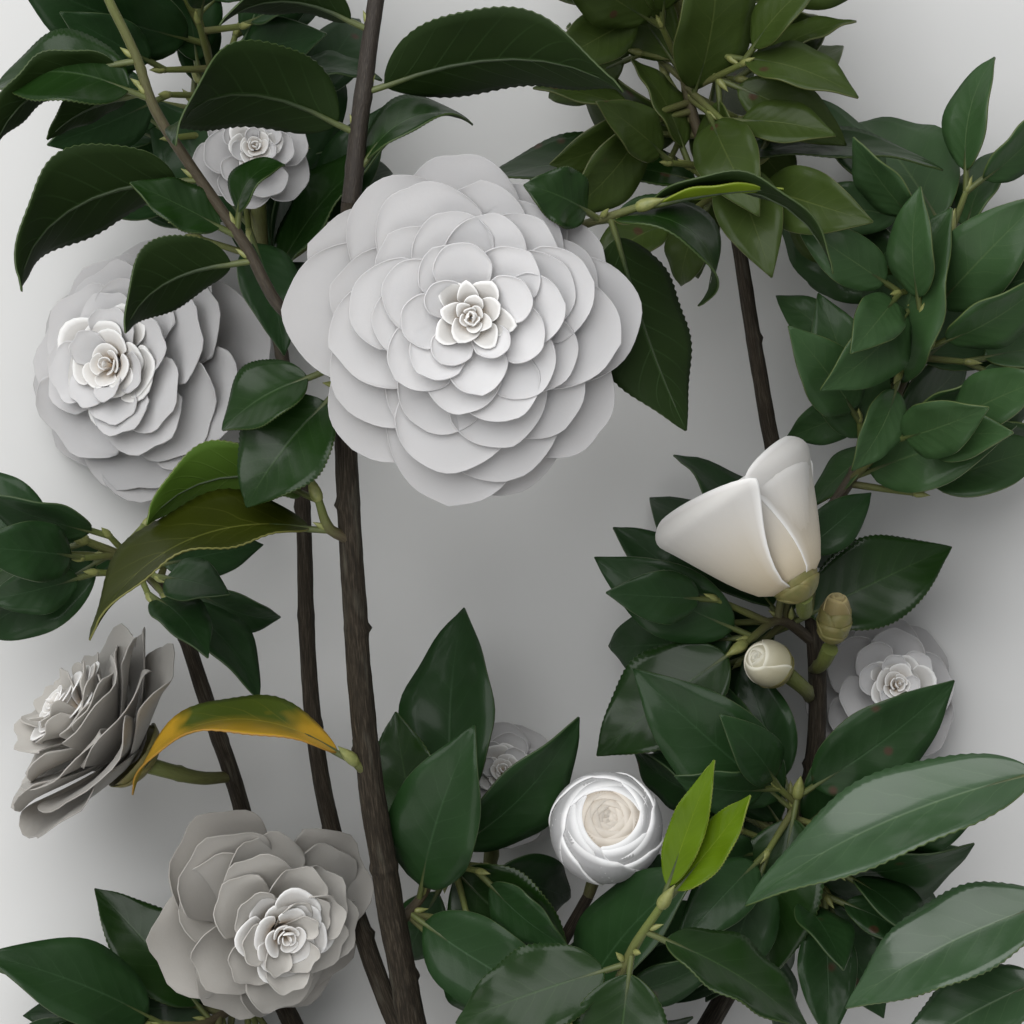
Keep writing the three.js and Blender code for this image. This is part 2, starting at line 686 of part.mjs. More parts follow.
for (const [name, bloom] of Object.entries(blooms)) {
  const shape = clearOf(bloomShape(bloom), bloom.joins);
  group.add(meshOf(name, shape, materialOf(bloom.colour ?? colours.petal, 0.6)));
}
for (const [name, globe] of Object.entries(globes)) {
  const shape = clearOf(globeShape(globe), globe.joins);
  group.add(meshOf(name, shape, materialOf(globe.colour ?? colours.petal, 0.6)));
}

// The origin goes to the middle of the box around the branch, at its underside
const extent = new THREE.Box3().setFromObject(group);
const middle = extent.getCenter(new THREE.Vector3());
group.children.forEach((mesh) => mesh.geometry.translate(-middle.x, -middle.y, -extent.min.z));

export default group;
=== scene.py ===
import math
import random

import bpy
import numpy as np
from mathutils import Matrix, Vector


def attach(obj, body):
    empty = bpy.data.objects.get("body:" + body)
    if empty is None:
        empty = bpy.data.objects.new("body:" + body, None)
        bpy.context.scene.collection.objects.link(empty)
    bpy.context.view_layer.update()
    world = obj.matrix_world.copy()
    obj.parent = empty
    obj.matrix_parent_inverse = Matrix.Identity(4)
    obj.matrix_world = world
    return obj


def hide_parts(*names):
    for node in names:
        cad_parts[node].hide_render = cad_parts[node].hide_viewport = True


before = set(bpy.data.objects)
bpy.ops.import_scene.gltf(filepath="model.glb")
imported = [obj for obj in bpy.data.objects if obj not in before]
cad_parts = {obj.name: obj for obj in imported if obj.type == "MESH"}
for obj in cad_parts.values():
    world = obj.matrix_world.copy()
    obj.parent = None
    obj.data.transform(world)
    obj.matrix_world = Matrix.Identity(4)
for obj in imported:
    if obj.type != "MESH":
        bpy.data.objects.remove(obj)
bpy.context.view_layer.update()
originShift = np.array((-2.561, 15.989, -1.334))  # from the source's own points to its origin
goldenAngle = 137.508
up = np.array((0.0, 0.0, 1.0))


# Node writing

def mathMethods(operation):
    # the two methods behind an operator: as it stands, and with its sides turned round
    return (lambda self, other: self.math(operation, self, other),
            lambda self, other: self.math(operation, other, self))


class Wire:
    # a socket of a node; arithmetic on it adds Math nodes to its tree
    __add__, __radd__ = mathMethods("ADD")
    __sub__, __rsub__ = mathMethods("SUBTRACT")
    __mul__, __rmul__ = mathMethods("MULTIPLY")
    __truediv__, __rtruediv__ = mathMethods("DIVIDE")
    __pow__, __rpow__ = mathMethods("POWER")

    def __init__(self, sheet, socket):
        self.sheet = sheet
        self.socket = socket

    def math(self, operation, *values):
        return self.sheet.make("ShaderNodeMath", {"operation": operation}, dict(enumerate(values)))

    def of(self, name):
        # another output of the same node
        return Wire(self.sheet, self.socket.node.outputs[name])

    def atLeast(self, low):
        return self.math("MAXIMUM", self, low)

    def atMost(self, high):
        return self.math("MINIMUM", self, high)

    def held(self):
        # kept from 0 to 1
        return self.atLeast(0).atMost(1)

    def sine(self):
        return self.math("SINE", self)

    def cosine(self):
        return self.math("COSINE", self)

    def size(self):
        return self.math("ABSOLUTE", self)

    def fraction(self):
        return self.math("FRACT", self)


class Sheet:
    # writes nodes into one tree: their settings first, then the values or links of their sockets
    def __init__(self, tree):
        self.tree = tree

    def make(self, kind, settings=None, values=None, output=0):
        node = self.tree.nodes.new(kind)
        for name, value in (settings or {}).items():
            if name == "stops":
                ramp = node.color_ramp.elements
                while len(ramp) < len(value):
                    ramp.new(1)
                for element, (place, colour) in zip(ramp, value):
                    element.position = place
                    element.color = (*colour, 1)
            else:
                setattr(node, name, value)
        for name, value in (values or {}).items():
            socket = node.inputs[name]
            for one in value if isinstance(value, list) else [value]:
                if isinstance(one, Wire):
                    self.tree.links.new(one.socket, socket)
                else:
                    socket.default_value = one
        return Wire(self, node.outputs[output]) if node.outputs else None

    def attribute(self, name, kind="FLOAT"):
        return self.make("GeometryNodeInputNamedAttribute", {"data_type": kind}, {"Name": name})

    def store(self, geometry, name, value, kind="FLOAT_VECTOR"):
        return self.make("GeometryNodeStoreNamedAttribute", {"data_type": kind, "domain": "POINT"},
                         {"Geometry": geometry, "Name": name, "Value": value})

    def mark(self, name, output="Vector"):
        # an attribute as a material reads it
        return self.make("ShaderNodeAttribute", {"attribute_name": name}, output=output)

    def spot(self):
        # the place on the piece, in metres
        return self.make("ShaderNodeTexCoord", output="Object")

    def vector(self, x, y, z):
        return self.make("ShaderNodeCombineXYZ", values={0: x, 1: y, 2: z})

    def mix(self, factor, first, second):
        values = {0: factor, 6: (*first, 1) if isinstance(first, tuple) else first,
                  7: (*second, 1) if isinstance(second, tuple) else second}
        return self.make("ShaderNodeMix", {"data_type": "RGBA"}, values, 2)

    def noise(self, vector, scale, detail=2.0, roughness=0.5):
        return self.make("ShaderNodeTexNoise", values={
            "Vector": vector, "Scale": scale, "Detail": detail, "Roughness": roughness})

    def bump(self, height, strength, distance):
        return self.make("ShaderNodeBump", values={
            "Height": height, "Strength": strength, "Distance": distance})


def times(colour, factor):
    return tuple(factor * part for part in colour)


def material(name, recipe):
    made = bpy.data.materials.new(name)
    made.use_nodes = True
    made.node_tree.nodes.clear()
    sheet = Sheet(made.node_tree)
    shader = sheet.make("ShaderNodeBsdfPrincipled", values=recipe(sheet))
    sheet.make("ShaderNodeOutputMaterial", values={"Surface": shader})
    return made


def growthTree(name, inputs, build):
    # a Geometry Nodes tree with named inputs, which ends in Realize Instances and Set Material
    tree = bpy.data.node_groups.new(name, "GeometryNodeTree")
    tree.interface.new_socket(name="Geometry", in_out="INPUT", socket_type="NodeSocketGeometry")
    tree.interface.new_socket(name="Geometry", in_out="OUTPUT", socket_type="NodeSocketGeometry")
    kinds = {bool: "NodeSocketBool", int: "NodeSocketInt", float: "NodeSocketFloat"}
    for inputName, value in inputs.items():
        tree.interface.new_socket(name=inputName, in_out="INPUT",
                                  socket_type=kinds.get(type(value), "NodeSocketMaterial"))
    sheet = Sheet(tree)
    entry = sheet.make("NodeGroupInput")
    shape = build(sheet, entry)
    shape = sheet.make("GeometryNodeRealizeInstances", values={"Geometry": shape})
    shape = sheet.make("GeometryNodeSetMaterial",
                       values={"Geometry": shape, "Material": entry.of("Material")})
    sheet.make("NodeGroupOutput", values={"Geometry": shape})
    return tree


def mark(mesh, name, values):
    # a number or a vector on each point of a mesh
    values = np.asarray(values, float)
    kind, field = ("FLOAT_VECTOR", "vector") if values.ndim == 2 else ("FLOAT", "value")
    mesh.attributes.new(name, kind, "POINT").data.foreach_set(field, values.ravel())


def newPiece(name, mesh):
    piece = bpy.data.objects.new(name, mesh)
    bpy.context.scene.collection.objects.link(piece)
    return piece


def walled(piece, thick, offset):
    # gives a sheet its thickness, in millimetres
    body = piece.modifiers.new("body", "SOLIDIFY")
    body.thickness = thick * 0.001
    body.offset = offset
    return body


def plain(piece):
    # the piece as its modifiers leave it, with no modifier left on it
    view = bpy.context.evaluated_depsgraph_get()
    mesh = bpy.data.meshes.new_from_object(
        piece.evaluated_get(view), preserve_all_data_layers=True, depsgraph=view)
    piece.modifiers.clear()
    piece.data = mesh
    mesh.name = piece.name
    mesh.shade_smooth()
    return piece


def grow(name, mesh, tree, inputs):
    piece = newPiece(name, mesh)
    modifier = piece.modifiers.new(tree.name, "NODES")
    modifier.node_group = tree
    for item in tree.interface.items_tree:
        if item.in_out == "INPUT" and item.name in inputs:
            modifier[item.identifier] = inputs[item.name]
    return piece


def toWorld(points):
    return (np.asarray(points) + originShift) * 0.001


ground = {"reach": 0.006, "soft": 0.0008}  # metres over which what sinks is eased onto the ground


def layDown(mesh):
    # what would reach below the ground lies on it instead
    spots = np.empty(len(mesh.vertices) * 3)
    mesh.vertices.foreach_get("co", spots)
    heights, reach, soft = spots[2::3], ground["reach"], ground["soft"]
    eased = soft * np.log1p(np.exp(np.minimum(heights, reach) / soft))
    spots[2::3] = np.where(heights > reach, heights, eased)
    mesh.vertices.foreach_set("co", spots)


def gridFaces(first, rows, columns, flipped=False):
    # the faces of a sheet of points, row by row; flipped, they look the other way
    faces = []
    for row in range(rows):
        for column in range(columns):
            corner = first + row * (columns + 1) + column
            others = (corner + columns + 1, corner + columns + 2, corner + 1)
            faces.append((corner, *(reversed(others) if flipped else others)))
    return faces


def finish(piece, slot, *nodes):
    layDown(piece.data)
    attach(piece, "root")
    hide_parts(*nodes)
    piece.data.calc_loop_triangles()
    print(f"{piece.name}: {len(piece.data.loop_triangles)} triangles")


# Paths, as the source bends its wood

def unit(vector):
    return np.asarray(vector, float) / np.linalg.norm(vector)


def turned(vector, axis, degrees):
    angle = math.radians(degrees)
    return (vector * math.cos(angle) + np.cross(axis, vector) * math.sin(angle)
            + axis * np.dot(axis, vector) * (1 - math.cos(angle)))


def pathPoint(path, share):
    # a point on the smooth curve through a path's points, at a share of its spans
    points = np.asarray(path, float)
    last = len(points) - 1
    place = last * share
    span = min(int(math.floor(place)), last - 1)
    weight = place - span
    before = points[span - 1] if span > 0 else 2 * points[0] - points[1]
    after = points[span + 2] if span + 2 <= last else 2 * points[last] - points[last - 1]
    start, end = points[span], points[span + 1]
    leave, arrive = 0.5 * (end - before), 0.5 * (after - start)
    bend = -3 * start + 3 * end - 2 * leave - arrive
    close = 2 * start - 2 * end + leave + arrive
    return start + leave * weight + bend * weight ** 2 + close * weight ** 3


def pathTangent(path, share):
    low, high = max(share - 1e-4, 0), min(share + 1e-4, 1)
    return unit(pathPoint(path, high) - pathPoint(path, low))


def sampled(path, radius, step):
    # close points along a path with their radii
    length = sum(np.linalg.norm(np.subtract(b, a)) for a, b in zip(path, path[1:]))
    count = max(int(length / step), 3)
    shares = np.linspace(0, 1, count + 1)
    points = np.array([pathPoint(path, share) for share in shares])
    return points, radius[0] + (radius[1] - radius[0]) * shares


# The branch, as in the source

limbs = {
    "main_stem": {"radius": (4.4, 2.5), "path": [
        (-14, -235, 5.2), (-20, -190, 24), (-27.5, -141, 50), (-35.5, -90, 72), (-40, -50, 86),
        (-43, 8, 104), (-43, 45, 111), (-41.7, 80, 115.5)]},
    "bough_left_inner": {"radius": (2.9, 1.9), "path": [
        (-24.5, -160, 40), (-40, -122, 37), (-51, -84, 38), (-56, -48, 42), (-58, 6, 46), (-61, 30, 45)]},
    "bough_left_outer": {"radius": (3.2, 2), "path": [
        (-17.5, -208, 16), (-46, -172, 18), (-68, -130, 23), (-75, -86, 30), (-86, -50, 36),
        (-94, -24, 41)]},
    "bough_bud": {"radius": (2.3, 1.6), "path": [
        (-21, -184, 27), (-6, -152, 35), (11, -124, 43), (21, -106, 47)]},
    "bough_right": {"radius": (3.4, 2), "path": [
        (-15.5, -220, 11.5), (22, -190, 17), (58, -140, 24), (82, -84, 30), (84, -30, 36),
        (71, 24, 44), (62, 76, 50)]},
    "bough_shoot": {"radius": (2.2, 1.6), "path": [
        (-18.5, -198, 21), (-6, -176, 52), (13, -150, 88), (27, -124, 112)]},
    "bough_right_front": {"radius": (2.8, 1.9), "path": [
        (-16.5, -212, 15), (26, -210, 44), (84, -192, 88), (124, -158, 118), (139, -124, 131)]},
}

# Each spray has its twig, the listed leaves and the rule of its seeded leaves. A leaf is its
# place on the twig, heading, pitch, length, width, bend, roll, swerve and twist, and its tone.
sprays = {
    "spray_top": {
        "radius": (2.5, 1.8), "age": (0, 0.12),
        "path": [(-41.7, 80, 115.5), (-38.5, 107, 119), (-35, 131, 122), (-31, 150, 124), (-27, 166, 125)],
        "leaves": [
            (0.06, 56, 10, 34, 20, 100, -60, 0, 0), (0.16, 152, 8, 62, 33, 112, 138, 0, 0),
            (0.26, 20, 6, 70, 34, 66, -128, 0, 0), (0.42, 152, 4, 38, 20, 80, 116, 0, 0),
            (0.66, 20, 10, 52, 24, 60, -70, 0, 0), (0.8, 130, 20, 50, 24, 50, 40, 0, 0),
            (0.92, 62, 12, 46, 22, 45, -30, 0, 0), (1, 105, 30, 38, 17, 35, 20, 0, 0)]},
    "spray_upper_left": {
        "radius": (1.7, 1.1), "age": (0.05, 0.95),
        "path": [(-43, 43, 111), (-59, 52, 118), (-68.7, 68.7, 121), (-82.6, 89, 124), (-91.4, 103, 126),
                 (-96.4, 117, 127), (-104, 133, 128), (-109, 147, 128)],
        "leaves": [
            (0.255, 186, 0, 38, 26, 84, 130, 0, 0), (0.3, 152, 20, 26, 14, 10, 30, 0, 0),
            (0.31, 84, 30, 20, 13, 110, -60, 0, 0), (0.4, 182, 0, 60, 33, 100, 128, 0, 0),
            (0.6, 158, 16, 38, 26, 74, 40, 0, 0), (0.62, 190, -14, 24, 13, 50, 122, 0, 0),
            (0.7, 186, -6, 44, 20, 84, 116, 0, 0), (0.86, 40, 10, 40, 19, 50, -60, 0, 0),
            (0.97, 150, 8, 42, 20, 40, 60, 0, 0), (1, 96, 20, 34, 16, 30, 10, 0, 0)]},
    "spray_upper_right": {
        "radius": (1.5, 1), "age": (0.3, 0.8),
        "path": [(-42.3, 60, 113), (-16, 66, 112), (8, 71, 117), (22, 75, 122), (32, 78, 125)],
        "leaves": [
            (0.76, 150, 50, 20, 16, 60, 20, 0, 0), (0.72, 10, 14, 46, 21, 150, -58, 0, 0),
            (0.96, 22, 0, 58, 18, 104, -100, 0, 0), (1, 12, 6, 32, 9, 14, -104, 0, 0, "young"),
            (0.82, -74, -12, 53, 30, 20, 152, 0, 0)]},
    "spray_bloom_left": {
        "radius": (1.6, 1.2), "age": (0.4, 0.8),
        "path": [(-43, 31, 108.5), (-47.5, 37, 112)],
        "leaves": [(1, 200, 6, 27, 22, 40, 40, 0, 0), (0.3, 226, 12, 35, 28, 36, 26, 0, 0)]},
    "spray_mid_left": {
        "radius": (1.6, 1.1), "age": (0.4, 0.9),
        "path": [(-43, -7, 101), (-48, -4, 104), (-50.5, 3, 106)],
        "leaves": [(1, 152, -30, 49, 24, 108, 118, 0, 0, "fresh"),
                   (0.4, 172, 8, 70, 34, 72, 66, 38, 0, "olive")]},
    "spray_gold": {
        "radius": (1.6, 1.2), "age": (0.4, 0.8),
        "path": [(-37.5, -71, 79.5), (-41.5, -67, 83)],
        "leaves": [(1, 148, 6, 70, 22, 112, 66, 0, 0, "gold")]},
    "spray_shoot": {
        "radius": (1.6, 1), "age": (0.6, 1.0),
        "path": [(27, -124, 112), (31.5, -112, 120), (38, -101, 127)],
        "leaves": [
            (1, 72, 14, 35, 10, 10, -20, 0, 0, "young"), (1, 50, 10, 32, 12, -14, -30, 0, 0, "young"),
            (0.45, 262, 6, 40, 26, 20, 10, 0, 0), (0.3, 196, 4, 42, 24, 30, 20, 0, 0),
            (0.7, -22, 4, 46, 22, 35, -50, 0, 0)]},
    "spray_right_front": {
        "radius": (1.9, 1.2), "age": (0.3, 0.9),
        "path": [(139, -124, 131), (142, -94, 141), (137, -64, 147)],
        "leaves": [
            (1, 194, 2, 83, 27, 40, 42, 0, 0), (0.46, 198, 6, 61, 25, 44, 34, 0, 0),
            (0.12, 202, 6, 44, 22, 40, 34, 0, 0), (0.96, 66, 4, 50, 24, 40, -30, 0, 0)]},
    "spray_left_inner": {
        "radius": (1.9, 1), "age": (0.2, 0.8),
        "path": [(-61, 30, 45), (-66, 56, 47), (-72, 84, 50), (-80, 112, 53), (-86, 136, 54)],
        "leaves": [(0.3, 60, 30, 50, 24, 30, -60, 0, 0)],
        "seeded": (11, 0.35, 1, 9, ((-150, 30, 4), (-30, 175, 96)))},
    "spray_left_outer": {
        "radius": (2, 1.1), "age": (0.2, 0.8),
        "path": [(-94, -24, 41), (-104, -14, 50), (-116, -8, 58)],
        "leaves": [(1, 196, 0, 46, 24, 40, 40, 0, 0)],
        "seeded": (12, 0.3, 1, 6, ((-150, -60, 4), (-60, 20, 90)))},
    "spray_left_low": {
        "radius": (1.6, 1), "age": (0.2, 0.8),
        "path": [(-68, -130, 23), (-84, -142, 34), (-100, -142, 44)],
        "leaves": [(0.5, 128, 6, 44, 22, 30, 20, 0, 0)],
        "seeded": (13, 0.3, 1, 7, ((-150, -190, 1), (-52, -100, 80)))},
    "spray_stem_low": {
        "radius": (1.6, 1), "age": (0.2, 0.8),
        "path": [(-31, -112, 63), (-24, -104, 56), (-16, -88, 52)],
        "leaves": [(0.6, 104, 10, 42, 26, 20, -20, 0, 0), (0.8, -44, 10, 42, 30, 24, 20, 0, 0)],
        "seeded": (14, 0.2, 1, 5, ((-50, -150, 8), (20, -20, 84)))},
    "spray_bud": {
        "radius": (1.5, 1), "age": (0.2, 0.8),
        "path": [(-2, -145, 37), (8, -140, 50), (20, -138, 60)],
        "leaves": [],
        "seeded": (15, 0.2, 1, 7, ((-14, -190, 2), (70, -90, 86)))},
    "spray_right_low": {
        "radius": (1.8, 1), "age": (0.2, 0.8),
        "path": [(70, -112, 27), (76, -96, 42), (78, -78, 56)],
        "leaves": [(1, 258, 6, 46, 26, 20, 20, 0, 0)],
        "seeded": (16, 0.1, 1, 9, ((30, -180, 1), (150, -40, 100)))},
    "spray_right_mid": {
        "radius": (1.7, 1), "age": (0.2, 0.8),
        "path": [(84, -36, 35.5), (74, -30, 44), (64, -36, 52)],
        "leaves": [(1, 214, 4, 46, 28, 26, 20, 0, 0), (0.34, 26, -8, 46, 26, 12, -14, 0, 0)],
        "seeded": (17, 0.2, 1, 8, ((20, -74, 1), (112, 20, 90)))},
    "spray_right_side": {
        "radius": (1.9, 1), "age": (0.2, 0.8),
        "path": [(82.5, -8, 39), (98, 16, 42), (112, 46, 45), (120, 76, 48)],
        "leaves": [],
        "seeded": (18, 0.25, 1, 10, ((72, 0, 1), (165, 140, 92)))},
    "spray_right_top": {
        "radius": (1.9, 1), "age": (0.2, 0.8),
        "path": [(62, 76, 50), (53, 98, 53), (47, 120, 55), (46, 142, 56)],
        "leaves": [(0.2, 165, 8, 62, 28, 40, 60, 0, 0), (0.3, 12, 8, 60, 18, 40, -60, 0, 0)],
        "seeded": (19, 0.3, 1, 7, ((-20, 60, 1), (110, 200, 96)))},
}

blooms = {
    "bloom_main": {
        "stalk": [(-42.8, 36, 109.5), (-30, 42, 111), (-17, 47, 115.5)],
        "back": (-10.5, 50.2, 123), "faces": (0.01, -0.06, 1), "radius": 46.5, "depth": 26,
        "pointed": 0.1,
        # the turn and reach of each petal in the source's two outer rings, as they overlap
        "outer": [
            (28, 38), (156, 44.5), (283, 47), (63, 37), (178, 48), (318, 45), (96, 42), (228, 45.5),
            (358, 43.5), (129, 42), (263, 48), (20, 34), (167, 36), (285, 43), (55, 33), (214, 40),
            (310, 37), (86, 34), (244, 34), (350, 38), (116, 37), (261, 40), (192, 36)],
        # the petals inside the source's two rings, in the same order
        "inner": [
            (288, 34), (249, 31), (53, 30), (135, 29), (330, 29), (16, 32), (170, 31), (24, 27.5),
            (105, 27.5), (78, 26.6), (292, 28), (318, 25.8), (182, 25), (263, 24.5), (219, 24.3),
            (159, 23.7), (8, 23.7), (48, 21.6),
            (119, 19.6), (342, 19.5), (278, 19.4), (100, 19.1), (226, 19), (185, 17.8), (26, 16.3),
            (237, 13.6), (145, 12.9), (311, 12.2)],
        # its heart: the turn and half angle of each standing petal, the radius of its foot and rim,
        # the width of its lip, and the heights of its foot and rim
        "heart": [
            (128, 32, 1.6, 10.4, 1.2, 16.6, 23.8), (350, 34, 1.6, 10.2, 1.2, 16.8, 24),
            (60, 36, 1.6, 9.6, 1.2, 17, 24.2), (210, 34, 1.6, 9.4, 1.2, 17.2, 24.4),
            (98, 30, 1.5, 8.2, 1, 17.4, 24.7), (310, 36, 1.5, 8.4, 1.1, 17.6, 24.9),
            (24, 36, 1.5, 7.4, 1, 17.8, 25.1), (166, 38, 1.5, 6.8, 1, 18, 25.3),
            (243, 62, 1.4, 5.6, 1.5, 18.2, 25.5), (78, 40, 1.4, 5.2, 0.9, 18.8, 25.6),
            (336, 42, 1.3, 4.8, 0.8, 19.4, 26), (136, 42, 1.2, 4.2, 0.5, 20, 25.9),
            (290, 44, 1.1, 3.8, 0.3, 20.6, 26.2), (40, 44, 1, 3.4, 0, 21.2, 26.1),
            (200, 46, 0.9, 3, -0.3, 21.8, 26.3), (100, 46, 0.8, 2.7, -0.6, 22.4, 26.2),
            (320, 48, 0.7, 2.4, -0.8, 23, 26.4), (240, 52, 0.6, 2.1, -0.9, 23.4, 26.3),
            (60, 56, 0.5, 1.8, -1, 23.8, 26.5), (160, 64, 0.4, 1.5, -1.1, 24.2, 26.4),
            (0, 76, 0.3, 1.2, -1.1, 24.6, 26.6)]},
    "bloom_left_upper": {
        "stalk": [(-58.4, 14, 46), (-70, 26, 26), (-90, 38, 9)],
        "back": (-101, 40, 13.4), "faces": (-0.5, 0.04, 1), "radius": 40, "depth": 30, "turn": 20},
    "bloom_left_lower": {
        "stalk": [(-79, -74, 32.5), (-86, -74, 38), (-94, -72, 42)],
        "back": (-102.6, -68.8, 44), "faces": (-0.8, 0.6, 0.3), "radius": 35, "depth": 32, "turn": 80,
        "rim": 0.5},
    "bloom_bottom": {
        "stalk": [(-74, -94, 28.5), (-75, -102, 33)],
        "back": (-71, -109, 43), "faces": (0.45, -0.3, 1), "radius": 34, "depth": 28, "turn": 130},
    "bloom_right": {
        "stalk": [(83, -17, 38), (81.5, -24, 50), (79.5, -27, 63)],
        "back": (77.5, -21, 74), "faces": (-0.5, 0.82, -0.08), "radius": 24, "depth": 36,
        # a goblet of standing petals, in the same terms
        "heart": [
            (92, 80, 3, 24, -4, 0, 31), (348, 76, 3, 24, -6, 0.2, 35), (196, 80, 3, 29, -7, 0.4, 33),
            (286, 76, 3, 22, -6, 0.8, 31), (40, 64, 2.8, 18, -4, 1.6, 32), (146, 64, 2.8, 18, -4, 2, 31),
            (240, 60, 2.6, 16, -4, 2.4, 29), (320, 60, 2.4, 13, -3, 2.8, 31),
            (70, 60, 2.2, 11, -3, 3.2, 29),
            (190, 62, 2, 9, -2, 3.6, 28), (300, 66, 1.6, 6, -1, 4.2, 26), (100, 74, 1, 4, -1, 4.8, 25)]},
    "bloom_right_low": {
        "stalk": [(84, -70, 31.5), (94, -63, 14), (102, -56, 3)],
        "back": (105, -52, 8), "faces": (0.2, 0.2, 1), "radius": 24, "depth": 20, "turn": 50},
    "bloom_back_mid": {
        "stalk": [(-4, -148, 36), (-8, -120, 24), (-5, -90, 13)],
        "back": (-4, -78, 18), "faces": (0.1, 0.4, 1), "radius": 21, "depth": 18, "turn": 0},
    "bloom_back_top": {
        "stalk": [(-68.6, 70, 48.4), (-69, 82, 58)],
        "back": (-70, 95, 68), "faces": (0.1, 0.2, 1), "radius": 18, "depth": 16, "turn": 70},
}

# The half open bloom and the buds: the radius and height of a globe of closed petals
globes = {
    "bloom_half_open": {
        "stalk": [(21, -106, 47), (23.5, -98, 48.5)],
        "back": (25, -90, 52), "faces": (0.05, 0.35, 1), "radius": 15, "depth": 26},
    "bud_cream": {
        "stalk": [(83.2, -52, 33), (81, -49, 42)],
        "back": (74.5, -44, 49), "faces": (-0.6, 0.35, 0.72), "radius": 6, "depth": 14},
    "bud_brown": {
        "stalk": [(84, -44, 34.2), (86, -42, 41)],
        "back": (88, -36, 47), "faces": (0.1, 0.9, 0.42), "radius": 4, "depth": 15},
}
stalkRadius = (1.6, 2.4)


def stalkPath(bloom):
    return [*bloom["stalk"], tuple(np.array(bloom["back"]) - 2 * unit(bloom["faces"]))]


def bloomFrame(bloom):
    # the way the bloom faces, and its right and top
    axis = unit(bloom["faces"])
    right = unit(np.array((1.0, 0, 0)) - axis * axis[0])
    return right, np.cross(axis, right), axis


# Leaves

leafPlan = {
    "steps": 24, "petiole": 6, "petioleRadius": 0.9, "fold": 0.16,
    "otherRoom": 7, "sameRoom": 4.5, "floor": 0.6, "woodRoom": 2, "bloomRoom": 2, "bloomEnds": 3,
    "smallShare": 0.62,  # the size of the leaves on the finer twigs, of the source's
    "smallRoom": 4.2, "tries": 90, "seed": 500,
}
# what the seeded leaves are dealt, with the width as a share of the length
leafRange = {
    "heading": (22, 82), "pitch": (-32, 44), "length": (42, 60), "width": (0.46, 0.56),
    "bend": (20, 62), "roll": (-20, 70),
}
# what the finer twigs are dealt, and the two leaves at the tip of each
fineRange = {
    "foot": (0.15, 1), "heading": (0, 360), "pitch": (-30, 50), "reach": (8, 20),
    "spread": (14, 46), "rise": (-16, 20), "width": (0.44, 0.52), "bend": (16, 60), "roll": (-10, 60),
}


def bladeHalf(share, width):
    return 0.5 * width * np.sin(np.pi * share ** 0.8).clip(0, 1) ** 0.8 * (1 - 0.4 * share ** 5)


def midrib(base, leaf):
    heading, pitch, length = (leaf[1], leaf[2], leaf[3])
    bend, roll, swerve, twist = leaf[5:9]
    turn, lift = math.radians(heading), math.radians(pitch)
    ahead = np.array((math.cos(turn), math.sin(turn), 0))
    along = ahead * math.cos(lift) + up * math.sin(lift)
    face = turned(ahead * -math.sin(lift) + up * math.cos(lift), along, roll)
    point = np.asarray(base, float) + along * leafPlan["petiole"]
    side = np.cross(along, face)
    rows = []
    for step in range(leafPlan["steps"] + 1):
        share = step / leafPlan["steps"]
        nowAlong = turned(along, side, -bend * share ** 1.2)
        nowFace = turned(face, side, -bend * share ** 1.2)
        nowAlong = turned(nowAlong, nowFace, swerve * share)
        nowFace = turned(nowFace, nowAlong, twist * share)
        rows.append((point, nowAlong, nowFace, np.cross(nowAlong, nowFace)))
        point = point + nowAlong * (length / leafPlan["steps"])
    return [np.array(column) for column in zip(*rows)]


def bladeSamples(base, leaf):
    points, _, _, sides = midrib(base, leaf)
    steps = np.array((4, 9, 14, 19, 24))
    halves = bladeHalf(steps / leafPlan["steps"], leaf[4])
    return np.array([points[step] + sides[step] * half * share
                     for step, half in zip(steps, halves) for share in (-0.7, 0, 0.7)])


def numbers(seed):
    # the source's seeded row of numbers from 0 to 1
    state = seed
    while True:
        state = (state * 1664525 + 1013904223) % 4294967296
        yield state / 4294967296


def seededLeaves(spray):
    seed, start, end, count, _ = spray["seeded"]
    row = numbers(seed)

    def dealt(name):
        low, high = leafRange[name]
        return low + (high - low) * next(row)

    leaves = []
    for number in range(count * 6):
        where = start + (end - start) * ((number % count) / max(count - 1, 1))
        tangent = pathTangent(spray["path"], where)
        hand = 1 if number % 2 else -1
        heading = math.degrees(math.atan2(tangent[1], tangent[0])) + hand * dealt("heading")
        pitch = dealt("pitch")
        length = dealt("length")
        width = length * dealt("width")
        bend = dealt("bend")
        roll = -hand * dealt("roll")
        leaves.append((where, heading, pitch, length, width, bend, roll, 0, 0))
    return leaves


woodNames, woodPoints, woodSizes = [], [], []


def addLine(name, path, radius):
    count = 10 * (len(path) - 1)
    for step in range(count + 1):
        woodNames.append(name)
        woodPoints.append(pathPoint(path, step / count))
        woodSizes.append(radius[0] + (radius[1] - radius[0]) * step / count)


for name, limb in limbs.items():
    addLine(name, limb["path"], limb["radius"])
for name, spray in sprays.items():
    addLine(name, spray["path"], spray["radius"])
for name, bloom in {**blooms, **globes}.items():
    addLine(name, stalkPath(bloom), stalkRadius)
woodNames, woodPoints, woodSizes = (np.array(row) for row in (woodNames, woodPoints, woodSizes))


